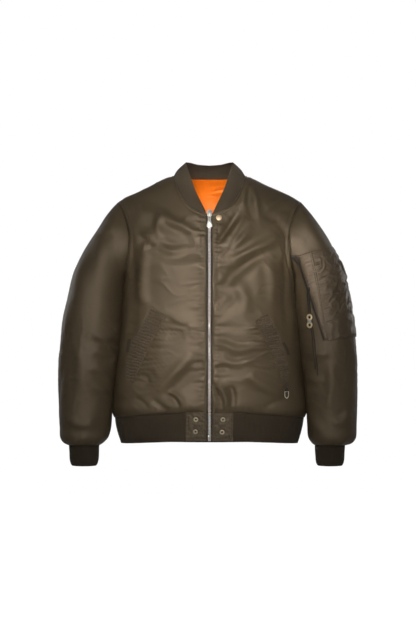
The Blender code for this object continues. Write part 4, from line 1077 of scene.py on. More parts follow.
    def pocket_place(self, u: Array, v: Array) -> tuple[Array, Array]:
        """Place (s, turn) on the sleeve pocket: u goes back from its zip, v down."""
        s_out = POCKET_TOP_OUT + (POCKET_FOOT_OUT - POCKET_TOP_OUT) * v
        out_x, out_z = self.section(s_out)[2:4]
        out = np.sin(0.5 * np.pi * np.minimum(u / POCKET_OUTLINE_U, 1)) * 0.9999
        front = [a + (b - a) * v for a, b in zip(POCKET_TOP_FRONT, POCKET_FOOT_FRONT)]
        x, z = (1 - out) * front[0] + out * out_x, (1 - out) * front[1] + out * out_z
        s, turn = self.seen_at(x, z)
        past = (u - POCKET_OUTLINE_U) / (1 - POCKET_OUTLINE_U)
        wrapped = u > POCKET_OUTLINE_U
        behind = np.pi + (POCKET_WRAP - np.pi) * past
        return np.where(wrapped, s_out, s), np.where(wrapped, behind, turn)

    def seen_at(self, x: Array, z: Array) -> tuple[Array, Array]:
        """Place (s, turn) on the front of the left-hand form that is seen at x and z."""
        x, z = np.broadcast_arrays(np.asarray(x, float), np.asarray(z, float))
        low, high = np.zeros(x.shape), np.full(x.shape, self.last)
        for _ in range(SECTION_HALVINGS):
            s = 0.5 * (low + high)
            in_x, in_z, out_x, out_z = self.section(s)[:4]
            before = (out_x - in_x) * (z - in_z) - (out_z - in_z) * (x - in_x) < 0
            low, high = np.where(before, s, low), np.where(before, high, s)
        in_x, in_z, out_x, out_z = self.section(s)[:4]
        span_x, span_z = out_x - in_x, out_z - in_z
        part = ((x - in_x) * span_x + (z - in_z) * span_z) / (span_x**2 + span_z**2)
        along = np.clip(2 * part - 1, -1, 1)
        return s, np.arccos(-np.sign(along) * np.abs(along) ** (SLEEVE_ROUND / 2))


# ---------------------------------------------------------------- meshes
def linked(name: str, data: bpy.types.ID) -> bpy.types.Object:
    """New object in the scene."""
    thing = bpy.data.objects.new(name, data)
    bpy.context.scene.collection.objects.link(thing)
    return thing


def read_out(items: bpy.types.bpy_prop_collection, key: str, size: int = 3) -> Array:
    """Value of every item of a mesh, one to a row."""
    flat = np.zeros(len(items) * size, np.float32)
    items.foreach_get(key, flat)
    return flat.reshape(-1, size)


def move_to(mesh: bpy.types.Mesh, points: Array) -> None:
    """Put the corners of a mesh at points in millimetres."""
    mesh.vertices.foreach_set("co", (points * METRES).astype(np.float32).ravel())


def copied(name: str, shape: bmesh.types.BMesh, count: int) -> tuple[bpy.types.Mesh, Array]:
    """Many copies of a shape in one mesh, all in the same place.

    Args:
        name: Name of the mesh.
        shape: The shape, used up.
        count: How many copies to make.

    Returns:
        The mesh and the corners of one copy.
    """
    mesh = bpy.data.meshes.new(name)
    shape.to_mesh(mesh)
    shape.free()
    corners = np.array([v.co for v in mesh.vertices])
    many = bmesh.new()
    for _ in range(count):
        many.from_mesh(mesh)
    many.to_mesh(mesh)
    many.free()
    return mesh, corners


def close_ends(thing: bpy.types.Object) -> None:
    """Fill the open ends of a tube and turn its faces outwards."""
    bm = bmesh.new()
    bm.from_mesh(thing.data)
    bmesh.ops.holes_fill(bm, edges=[edge for edge in bm.edges if edge.is_boundary])
    bmesh.ops.recalc_face_normals(bm, faces=bm.faces)
    bm.to_mesh(thing.data)
    bm.free()
    thing.data.shade_smooth()


def grid_mesh(
    name: str, points: Array, cut: Pair, closed: bool = False, border: int = 0,
    shaded: Array | None = None,
) -> bpy.types.Object:
    """Sheet through a grid of points, with its cut laid out as a UV map in metres.

    Args:
        name: Name of the object.
        points: Rows by columns of points in millimetres, right-handed outwards.
        cut: Width and length of the flat cloth in metres.
        closed: Whether the last column meets the first, which are then joined.
        border: Cells along its open edges that take the third material slot.
        shaded: Which cells take the second material slot, rows by columns.

    Returns:
        The new object.
    """
    rows, columns = points.shape[0] - 1, points.shape[1] - 1
    bm = bmesh.new()
    bm.loops.layers.uv.new("cut")
    bmesh.ops.create_grid(bm, x_segments=columns, y_segments=rows, size=0.5, calc_uvs=True)
    mesh = bpy.data.meshes.new(name)
    bm.to_mesh(mesh)
    bm.free()
    flat = read_out(mesh.vertices, "co")
    across = np.rint((flat[:, 0] + 0.5) * columns).astype(int)
    up = np.rint((flat[:, 1] + 0.5) * rows).astype(int)
    if border or shaded is not None:
        centres = (read_out(mesh.polygons, "center")[:, :2] + 0.5) * (columns, rows)
        inset = np.minimum(centres, np.array([columns, rows]) - centres)
        edge = inset[:, 1] if closed else inset.min(axis=1)
        slots = np.where(edge < border, 2, 0)
        if shaded is not None:
            slots = np.where(shaded[tuple(centres.astype(int).T[::-1])], 1, slots)
        mesh.polygons.foreach_set("material_index", slots.astype(np.int32))
    move_to(mesh, points[up, across])
    layer = mesh.uv_layers["cut"]
    uv = read_out(layer.uv, "vector", 2)
    layer.uv.foreach_set("vector", (uv * np.array(cut)).astype(np.float32).ravel())
    if closed:
        bm = bmesh.new()
        bm.from_mesh(mesh)
        bmesh.ops.remove_doubles(bm, verts=bm.verts, dist=MERGE_DISTANCE)
        bm.to_mesh(mesh)
        bm.free()
    mesh.shade_smooth()
    return linked(name, mesh)


def facing(thing: bpy.types.Object, inside: Callable[[Array], Array]) -> None:
    """Turn the faces of a sheet so that they look away from its inside.

    Args:
        thing: The sheet.
        inside: Gives a point inside for each face centre, in metres.
    """
    mesh = thing.data
    centres, normals = (read_out(mesh.polygons, key) for key in ("center", "normal"))
    if np.sum(normals * (centres - inside(centres))) < 0:
        mesh.flip_normals()


def area_of(points: Array) -> float:
    """Area of a grid of points, in square metres."""
    across, up = np.diff(points, axis=1)[:-1], np.diff(points, axis=0)[:, :-1]
    return float(np.linalg.norm(np.cross(across, up), axis=-1).sum()) * METRES**2


def thicken(thing: bpy.types.Object, thickness: float, inner_slot: int = 0) -> None:
    """Give a sheet its wall, inwards of its faces.

    Args:
        thing: The sheet.
        thickness: Wall in millimetres.
        inner_slot: Material slot of the inner face, counted from the outer one.
    """
    wall = thing.modifiers.new("wall", "SOLIDIFY")
    wall.thickness = thickness * METRES
    wall.offset = -1.0
    wall.use_even_offset = False
    wall.material_offset = inner_slot


def joined(name: str, meshes: Sequence[bmesh.types.BMesh]) -> bpy.types.Object:
    """One hard object out of several bmeshes, which are used up."""
    whole = bpy.data.meshes.new(name)
    total = bmesh.new()
    for part in meshes:
        scrap = bpy.data.meshes.new("scrap")
        part.to_mesh(scrap)
        part.free()
        total.from_mesh(scrap)
        bpy.data.meshes.remove(scrap)
    total.to_mesh(whole)
    total.free()
    whole.shade_smooth()
    whole.set_sharp_from_angle(angle=SHARP_ANGLE)
    return linked(name, whole)


def frame_matrix(here: Array, right: Array, out: Array) -> Matrix:
    """Placement whose local x runs right, y into the cloth and z up it, in metres."""
    out = unit(out)
    right = unit(right - out * np.dot(right, out))
    up = np.cross(right, -out)
    rows = np.stack([right, -out, up, here * METRES], axis=1)
    return Matrix([*rows.tolist(), [0, 0, 0, 1]])


class Stitches:
    """Rows of short thread stitches along lines on the cloth, gathered into one mesh."""

    BEAD_RADIUS, BEAD_BULGE = 0.55, 1.8

    def __init__(
        self, name: str, length: float = 2.6, gap: float = 1.0, radius: float = 0.34
    ) -> None:
        """Set the sizes of the seam.

        Args:
            name: Name of the object.
            length: Length of a stitch in millimetres.
            gap: Gap between two.
            radius: Half the thread's thickness.
        """
        self.name, self.length, self.gap, self.radius = name, length, gap, radius
        self.starts: list[Array] = []
        self.ends: list[Array] = []
        self.normals: list[Array] = []

    def run(self, points: Array, normals: Array) -> None:
        """Add a row along a line.

        Args:
            points: Places along it, in millimetres.
            normals: Direction out of the cloth at each.
        """
        lengths = lengths_along(points)
        pitch = self.length + self.gap
        count = int(lengths[-1] // pitch)
        at = (np.arange(count) + 0.5) * lengths[-1] / max(count, 1)
        for ends, shift in ((self.starts, -0.5 * self.length), (self.ends, 0.5 * self.length)):
            ends.append(sampled(at + shift, lengths, points))
        self.normals.append(unit(sampled(at, lengths, normals)))

    def build(self) -> bpy.types.Object:
        """Make the thread: a low four-sided bead for each stitch."""
        starts, ends, normals = (np.concatenate(x) for x in (self.starts, self.ends, self.normals))
        bm = bmesh.new()
        bmesh.ops.create_cone(
            bm, cap_ends=True, segments=4, radius1=self.BEAD_RADIUS, radius2=self.BEAD_RADIUS,
            depth=1.0,
        )
        rim = [e for e in bm.edges if abs(e.verts[0].co.z - e.verts[1].co.z) < MERGE_DISTANCE]
        bmesh.ops.subdivide_edges(bm, edges=[e for e in bm.edges if e not in rim], cuts=1)
        for vert in bm.verts:
            if abs(vert.co.z) < 0.1:
                vert.co.x *= self.BEAD_BULGE
                vert.co.y *= self.BEAD_BULGE
        mesh, shape = copied(self.name, bm, len(starts))
        along = ends - starts
        side = unit(np.cross(along, normals))
        middle = 0.5 * (starts + ends) + normals * self.radius * 0.5
        placed = middle[:, None] + shape[None, :, 2:] * along[:, None]
        x, y = shape[None, :, :1], shape[None, :, 1:2]
        placed += self.radius * (x * side[:, None] + y * normals[:, None])
        move_to(mesh, placed)
        mesh.shade_smooth()
        return linked(self.name, mesh)


# ---------------------------------------------------------------- finishes
class Graph:
    """Places nodes in a tree and links them."""

    def __init__(self, tree: bpy.types.NodeTree) -> None:
        """Work in a node tree."""
        self.tree = tree

    def node(
        self, kind: str, inputs: dict[str | int, object] | None = None, **settings: object
    ) -> bpy.types.Node:
        """Place a node.

        Args:
            kind: Node type.
            inputs: A value or a socket for each input that isn't left as it is.
            **settings: Properties of the node.

        Returns:
            The node.
        """
        node = self.tree.nodes.new(kind)
        for key, value in settings.items():
            setattr(node, key, value)
        self.fill(node, inputs or {})
        return node

    def fill(self, node: bpy.types.Node, inputs: dict[str | int, object]) -> None:
        """Give inputs of a node their values, or link them to the sockets that do."""
        for key, value in inputs.items():
            if isinstance(value, bpy.types.NodeSocket):
                self.tree.links.new(value, node.inputs[key])
            else:
                node.inputs[key].default_value = value

    def math(self, operation: str, *values: object) -> bpy.types.NodeSocket:
        """Result of a calculation on one to three values."""
        return self.node("ShaderNodeMath", dict(enumerate(values)), operation=operation).outputs[0]

    def times(self, first: object, second: object) -> bpy.types.NodeSocket:
        """Product of two values."""
        return self.math("MULTIPLY", first, second)

    def plus(self, first: object, second: object) -> bpy.types.NodeSocket:
        """Sum of two values."""
        return self.math("ADD", first, second)

    def group(self, tree: bpy.types.NodeTree, inputs: dict[str | int, object]) -> bpy.types.Node:
        """Place a shared shader group."""
        return self.node("ShaderNodeGroup", inputs, node_tree=tree)

    def mix(self, factor: object, first: object, second: object) -> bpy.types.NodeSocket:
        """Colour between two colours."""
        node = self.node("ShaderNodeMix", {0: factor, 6: first, 7: second}, data_type="RGBA")
        return node.outputs[2]

    def noise(self, vector: object, scale: float, detail: float = 2.0) -> bpy.types.NodeSocket:
        """Noise of a scale in cells per metre."""
        inputs = {"Vector": vector, "Scale": scale, "Detail": detail}
        return self.node("ShaderNodeTexNoise", inputs).outputs[0]


def new_group(
    name: str, inputs: dict[str, float | None], outputs: Sequence[str]
) -> tuple[Graph, bpy.types.Node, bpy.types.Node]:
    """Empty shader group.

    Args:
        name: Its name.
        inputs: Start value of each input, None for a vector.
        outputs: Names of its outputs, all of them numbers.

    Returns:
        The graph, its input node and its output node.
    """
    tree = bpy.data.node_groups.new(name, "ShaderNodeTree")
    for key, value in inputs.items():
        kind = "NodeSocketVector" if value is None else "NodeSocketFloat"
        socket = tree.interface.new_socket(key, in_out="INPUT", socket_type=kind)
        if value is not None:
            socket.default_value = value
    for key in outputs:
        tree.interface.new_socket(key, in_out="OUTPUT", socket_type="NodeSocketFloat")
    graph = Graph(tree)
    return graph, graph.node("NodeGroupInput"), graph.node("NodeGroupOutput")


def new_material(name: str) -> tuple[bpy.types.Material, Graph, bpy.types.Node]:
    """New material with its graph and its shader node."""
    material = bpy.data.materials.new(name)
    material.use_nodes = True
    return material, Graph(material.node_tree), material.node_tree.nodes["Principled BSDF"]


class Effect(Enum):
    """Shader groups that several finishes share."""

    WEAVE = "weave"
    CRUMPLE = "crumple"
    KNIT = "knit"
    GRIME = "tone"


def build_effects() -> dict[Effect, bpy.types.NodeTree]:
    """Make the shared shader groups once.

    Returns:
        The group of each effect.
    """
    groups = {}
    graph, given, out = new_group(
        Effect.WEAVE.value, {"Vector": None, "Pitch": 0.0009}, ["Height", "Mask"]
    )
    parts = graph.node("ShaderNodeSeparateXYZ", {0: given.outputs["Vector"]})
    turn = graph.math("DIVIDE", TURN, given.outputs["Pitch"])
    warp = graph.math("SINE", graph.times(graph.plus(parts.outputs[0], parts.outputs[1]), turn))
    weft = graph.math("SINE", graph.times(graph.times(parts.outputs[1], 2.0), turn))
    slub = graph.noise(given.outputs["Vector"], 900.0)
    height = graph.plus(graph.times(warp, 0.5), graph.times(weft, 0.3))
    graph.fill(out, {"Height": graph.plus(height, slub), "Mask": slub})
    groups[Effect.WEAVE] = graph.tree

    graph, given, out = new_group(Effect.CRUMPLE.value, {"Vector": None, "Size": 0.012}, ["Height"])
    scale = graph.math("DIVIDE", 1.0, given.outputs["Size"])
    soft = graph.noise(given.outputs["Vector"], scale, 3.0)
    broad = graph.noise(given.outputs["Vector"], graph.times(scale, 0.6), 1.0)
    sharp = graph.math("ABSOLUTE", graph.math("SUBTRACT", broad, 0.5))
    graph.fill(out, {"Height": graph.math("SUBTRACT", soft, graph.times(sharp, 1.2))})
    groups[Effect.CRUMPLE] = graph.tree

    graph, given, out = new_group(
        Effect.KNIT.value, {"Vector": None, "Pitch": 0.0017}, ["Height", "Mask"]
    )
    parts = graph.node("ShaderNodeSeparateXYZ", {0: given.outputs["Vector"]})
    turn = graph.math("DIVIDE", TURN, given.outputs["Pitch"])
    wale = graph.math("COSINE", graph.times(parts.outputs[0], turn))
    lean = graph.times(graph.math("ABSOLUTE", wale), 1.6)
    course = graph.math("SINE", graph.plus(graph.times(parts.outputs[1], turn), lean))
    fuzz = graph.noise(given.outputs["Vector"], 1400.0, 4.0)
    height = graph.plus(graph.times(course, 0.45), graph.times(fuzz, 0.8))
    graph.fill(out, {"Height": height, "Mask": fuzz})
    groups[Effect.KNIT] = graph.tree

    graph, given, out = new_group(Effect.GRIME.value, {"Vector": None, "Size": 0.1}, ["Mask"])
    scale = graph.math("DIVIDE", 1.0, given.outputs["Size"])
    cloud = graph.noise(given.outputs["Vector"], scale, 4.0)
    spread = graph.node("ShaderNodeMapRange", {0: cloud, 1: 0.35, 2: 0.65})
    graph.fill(out, {"Mask": spread.outputs[0]})
    groups[Effect.GRIME] = graph.tree
    return groups


@dataclass(frozen=True)
class ClothFinish:
    """Woven or knitted cloth; colours are linear."""

    name: str
    colour: Triple
    deep: Triple
    roughness: float
    effect: Effect = Effect.WEAVE
    pitch: float = 0.0009
    thread_height: float = 0.035
    crumple: float = 0.25
    crumple_size: float = 0.012
    specular: float = 0.5
    sheen: float = 0.0
    gleam: Triple = (1.0, 0.80, 0.62)

    def build(self, groups: dict[Effect, bpy.types.NodeTree]) -> bpy.types.Material:
        """Make the material.

        Args:
            groups: The shared effects.

        Returns:
            The material.
        """
        material, graph, shader = new_material(self.name)
        place = graph.node("ShaderNodeTexCoord")
        on_cloth, on_piece = place.outputs["UV"], place.outputs["Object"]
        weave = graph.group(groups[self.effect], {"Vector": on_cloth, "Pitch": self.pitch})
        crumple = graph.group(
            groups[Effect.CRUMPLE], {"Vector": on_piece, "Size": self.crumple_size}
        )
        tone = graph.group(groups[Effect.GRIME], {"Vector": on_piece})
        blend = graph.plus(
            graph.times(tone.outputs["Mask"], 0.6), graph.times(weave.outputs["Mask"], 0.4)
        )
        colour = graph.mix(blend, (*self.deep, 1.0), (*self.colour, 1.0))
        rough = graph.plus(graph.times(weave.outputs["Mask"], 0.12), self.roughness - 0.06)
        threads = graph.times(weave.outputs["Height"], self.thread_height)
        height = graph.plus(graph.times(crumple.outputs["Height"], self.crumple), threads)
        bump = graph.node("ShaderNodeBump", {"Height": height, "Distance": METRES})
        look = {"Base Color": colour, "Roughness": rough, "Normal": bump.outputs[0]}
        look |= {"Specular IOR Level": self.specular, "Specular Tint": (*self.gleam, 1.0)}
        look |= {"Sheen Weight": self.sheen, "Sheen Roughness": 0.4}
        graph.fill(shader, look)
        return material


@dataclass(frozen=True)
class MetalFinish:
    """Plated or painted metal; the colour is linear."""

    name: str
    colour: Triple
    dark: Triple
    roughness: float
    metallic: float = 1.0

    def build(self, groups: dict[Effect, bpy.types.NodeTree]) -> bpy.types.Material:
        """Make the material.

        Args:
            groups: The shared effects.

        Returns:
            The material.
        """
        material, graph, shader = new_material(self.name)
        place = graph.node("ShaderNodeTexCoord").outputs["Object"]
        tone = graph.group(groups[Effect.GRIME], {"Vector": place, "Size": 0.004})
        scratch = graph.noise(place, 2600.0, 4.0)
        colour = graph.mix(tone.outputs["Mask"], (*self.dark, 1.0), (*self.colour, 1.0))
        rough = graph.plus(graph.times(scratch, 0.16), self.roughness - 0.08)
        bump = graph.node(
            "ShaderNodeBump", {"Height": graph.times(scratch, 0.02), "Distance": METRES}
        )
        look = {"Base Color": colour, "Roughness": rough, "Normal": bump.outputs[0]}
        graph.fill(shader, look | {"Metallic": self.metallic})
        return material


FINISHES = (
    ClothFinish(
        "nylon", (0.072, 0.053, 0.031), (0.060, 0.044, 0.025), 0.47, crumple=0.07, crumple_size=0.02
    ),
    ClothFinish(
        "nylon_ruched", (0.078, 0.058, 0.037), (0.058, 0.043, 0.027), 0.5, crumple=0.5,
        crumple_size=0.005,
    ),
    # near-black finish for the welts' crease hollows and edges: painted shade
    ClothFinish(
        "ruched_painted_shade", (0.016, 0.012, 0.008), (0.010, 0.007, 0.005), 0.6, crumple=0.5,
        crumple_size=0.005, specular=0.3,
    ),
    ClothFinish(
        "nylon_trim", (0.068, 0.051, 0.032), (0.050, 0.037, 0.024), 0.55, crumple=0.4,
        crumple_size=0.006,
    ),
    ClothFinish(
        "nylon_pocket", (0.078, 0.057, 0.036), (0.063, 0.046, 0.029), 0.42, crumple=0.2,
        crumple_size=0.006,
    ),
    ClothFinish(
        "webbing", (0.050, 0.038, 0.026), (0.034, 0.026, 0.018), 0.7, pitch=0.0016,
        thread_height=0.15, crumple=0.0, specular=0.35,
    ),
    ClothFinish(
        "rib_knit", (0.078, 0.060, 0.040), (0.050, 0.038, 0.025), 0.85, Effect.KNIT, 0.0017, 0.12,
        0.1, 0.02, 0.25, 0.12,
    ),
    # darker copy of the rib knit for the cuffs and the hem: painted shade
    ClothFinish(
        "rib_knit_shaded", (0.045, 0.034, 0.023), (0.028, 0.021, 0.014), 0.85, Effect.KNIT, 0.0017, 0.12,
        0.1, 0.02, 0.25, 0.12,
    ),
    # near-black finish for the valleys between ribs: painted shade
    ClothFinish(
        "rib_painted_shade", (0.012, 0.009, 0.006), (0.007, 0.005, 0.004), 0.9, Effect.KNIT, 0.0017, 0.12,
        0.1, 0.02, 0.2, 0.08,
    ),
    ClothFinish(
        "lining_nylon", (1.0, 0.225, 0.010), (0.96, 0.19, 0.007), 0.5, crumple=0.35,
        crumple_size=0.02,
    ),
    ClothFinish(
        "zip_tape", (0.050, 0.040, 0.028), (0.034, 0.028, 0.020), 0.8, pitch=0.0012,
        thread_height=0.08, specular=0.3,
    ),
    ClothFinish("thread", (0.046, 0.034, 0.022), (0.028, 0.021, 0.014), 0.6, crumple=0.0),
    ClothFinish(
        "lace_cord", (0.020, 0.018, 0.016), (0.008, 0.007, 0.006), 0.55, Effect.KNIT, 0.0016, 0.25,
        0.0,
    ),
    MetalFinish("zip_nickel", (0.84, 0.83, 0.81), (0.62, 0.61, 0.59), 0.34),
    MetalFinish("aged_nickel", (0.62, 0.55, 0.40), (0.40, 0.34, 0.23), 0.34),
    MetalFinish("dim_nickel", (0.16, 0.145, 0.12), (0.09, 0.08, 0.065), 0.4),
    MetalFinish("pale_nickel", (0.86, 0.80, 0.66), (0.72, 0.66, 0.52), 0.3, 0.6),
    MetalFinish("nickel", (0.66, 0.64, 0.60), (0.40, 0.39, 0.36), 0.32, 0.8),
    MetalFinish("pale_brass", (0.96, 0.83, 0.56), (0.84, 0.70, 0.44), 0.3),
    MetalFinish("cream_cap", (0.86, 0.64, 0.40), (0.76, 0.54, 0.32), 0.42, 0.55),
    MetalFinish("dark_metal", (0.05, 0.045, 0.04), (0.03, 0.027, 0.024), 0.4, 0.6),
)


class Workshop:
    """Holds the finishes, and hands each piece to the frame."""

    def __init__(self) -> None:
        """Make every finish."""
        groups = build_effects()
        self.materials = {finish.name: finish.build(groups) for finish in FINISHES}

    def dress(
        self,
        thing: bpy.types.Object,
        slot: str,
        finishes: Sequence[str],
        nodes: Sequence[str] = (),
        body: str = "jacket",
    ) -> None:
        """Give a piece its finishes and its place in the frame.

        Args:
            thing: The piece.
            slot: The record's material slot.
            finishes: Its finishes, one for each material slot of the mesh.
            nodes: Frame nodes that it stands for.
            body: Frame body that carries it.
        """
        thing.data.materials.clear()
        for key in finishes:
            thing.data.materials.append(self.materials[key])
        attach(thing, body)
        if nodes:
            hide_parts(*nodes)
        count = len(thing.data.polygons) if thing.type == "MESH" else 0
        LOG.info("%s: %d faces, %s", thing.name, count, slot)


# ---------------------------------------------------------------- woven shell
@dataclass
class Shell:
    """The woven shell: two fronts, a back and two sleeves, each lined."""

    shop: Workshop
    torso: Torso
    arms: dict[Wearer, Arm]
    cell: float = 2.95
    back_cell: float = 4.6
    sleeve_cell: float = 3.75
    wall: float = 2.6
    front_cut: Pair = (0.30, 0.64)
    back_cut: Pair = (0.60, 0.68)
    sleeve_cut: Pair = (0.56, 0.63)

    def places(self, side: Side, cell: float) -> tuple[Array, Array]:
        """Even rows and columns over half a panel, with lines at its corners."""
        rows, columns = [], []
        for low, high, at in ((0, SIDE_ROWS, 6.0), (SIDE_ROWS, ROWS, 4.0)):
            fine = np.linspace(low, high, 120)
            line = self.torso.panel(side, fine, np.full(fine.shape, at))
            count = int(length_of(line) / cell)
            rows.append(even(fine, line, count)[1 if low else 0 :])
        for low, high in ((0, NECK_COLUMNS), (NECK_COLUMNS, COLUMNS)):
            fine = np.linspace(low, high, 120)
            line = self.torso.panel(side, np.full(fine.shape, 5.0), fine)
            count = int(length_of(line) / cell)
            columns.append(even(fine, line, count)[1 if low else 0 :])
        return np.concatenate(rows), np.concatenate(columns)

    def half(self, side: Side, wearer: Wearer, cell: float, sink: float = 0.0) -> Array:
        """Dressed points of half a panel.

        Args:
            side: Front or back.
            wearer: Which half.
            cell: Size of a grid cell in millimetres.
            sink: How far below the plain form it lies; a sunk one has no relief.

        Returns:
            Rows from the hem up, columns from the middle out.
        """
        rows, columns = self.places(side, cell)
        row, place = np.meshgrid(rows, columns, indexing="ij")
        grid = self.torso.panel(side, row, place)
        x, y, z = np.moveaxis(grid, -1, 0)
        inside = np.stack([0.55 * x, 0 * y, np.minimum(z, -150) - 40], axis=-1)
        normals = grid_normals(grid, grid - inside)
        height = -sink
        if not sink:
            height = self.torso.relief(x * wearer.value, z, side)[..., None]
        return mirrored(grid + normals * height, wearer)

    def build_fronts(self) -> None:
        """Make the two fronts."""
        for wearer in Wearer:
            name = f"front_{wearer.name.lower()}"
            points = self.half(Side.FRONT, wearer, self.cell)
            front = grid_mesh(f"shell_{name}", points, self.front_cut, border=6)
            self.finish(front, name, self.front_cut, area_of(points), ["shell_back"])

    def build_back(self) -> None:
        """Make the back in one piece."""
        left = self.half(Side.BACK, Wearer.LEFT, self.back_cell)
        right = self.half(Side.BACK, Wearer.RIGHT, self.back_cell)
        points = np.concatenate([right[:, :0:-1], left], axis=1)
        back = grid_mesh("shell_back", points, self.back_cut, border=6)
        self.finish(back, "back", self.back_cut, area_of(points), [])

    def finish(
        self, thing: bpy.types.Object, node: str, cut: Pair, area: float, hangs_from: list[str]
    ) -> None:
        """Give a body panel its wall, lining and place in the frame."""

        def middle(centres: Array) -> Array:
            x, y, z = centres.T
            return np.stack([0.4 * x, 0 * y, np.minimum(z, -0.15) - 0.04], axis=-1)

        facing(thing, middle)
        thicken(thing, self.wall, inner_slot=1)
        self.shop.dress(thing, "nylon", ["nylon", "lining_nylon", "nylon"], [node])
        LOG.info("%s is cut from %.3f square metres", node, area)

    def build_sleeves(self) -> None:
        """Make the two sleeves, each one tube with its seam under the arm."""
        for wearer, arm in self.arms.items():
            fine = np.linspace(0, arm.last, 600)
            count = int(arm.lengths(arm.last) / self.sleeve_cell)
            rows = even(fine, arm.plain(fine, np.full(fine.shape, 0.75 * np.pi)), count)
            around = np.linspace(0, TURN, 128)
            s, turn = np.meshgrid(rows, around, indexing="ij")
            points = arm.place(s, turn)
            points[:, -1] = points[:, 0]
            name = f"sleeve_{wearer.name.lower()}"
            sleeve = grid_mesh(f"shell_{name}", points, self.sleeve_cut, closed=True, border=6)
            middles = mirrored(arm.middle(rows), wearer) * METRES

            def inside(centres: Array, middles: Array = middles) -> Array:
                return middles[np.abs(centres[:, None, 2] - middles[None, :, 2]).argmin(axis=1)]

            facing(sleeve, inside)
            thicken(sleeve, self.wall, inner_slot=1)
            self.shop.dress(sleeve, "nylon", ["nylon", "lining_nylon", "nylon"], [name])
            LOG.info("%s is cut from %.3f square metres", name, area_of(points))

    def build_lining(self, sink: float = 7.2, cut: Pair = (0.56, 0.64)) -> None:
        """Make the bright lining of the back, with the slack that shows through the neck.

        Args:
            sink: How far inside the shell's outer face it lies.
            cut: Its flat size in metres.
        """
        left = self.half(Side.BACK, Wearer.LEFT, 4.2, sink)
        right = self.half(Side.BACK, Wearer.RIGHT, 4.2, sink)
        points = np.concatenate([right[:, :0:-1], left], axis=1)[2:, 3:-3]
        noise = Noise(61)
        x, z = points[..., 0], points[..., 2]
        steps = [np.minimum(np.arange(n), n - 1 - np.arange(n)) for n in points.shape[:2]]
        near_edge = np.minimum.reduce(np.meshgrid(*steps, indexing="ij"))
        waves = 1.6 * noise((x + 0.3 * z) / 22, z / 60) + 1.0 * noise(x / 11 + 5, z / 34)
        waves += (
            6.0 * noise(x / 60 + 3, (z - 0.12 * x) / 9) * ease((x + 40) / 60) * bell(z + 28, 26)
        )
        points = points - np.stack([0 * x, np.abs(waves) * ease(near_edge / 3), 0 * x], axis=-1)
        lining = grid_mesh("back_lining", points, cut)
        facing(lining, lambda p: p * [1, 0, 1] + [0, 0.4, 0])
        thicken(lining, 0.8)
        self.shop.dress(lining, "lining_nylon", ["lining_nylon"], ["lining_back"])
        LOG.info("lining is cut from %.3f square metres", area_of(points))


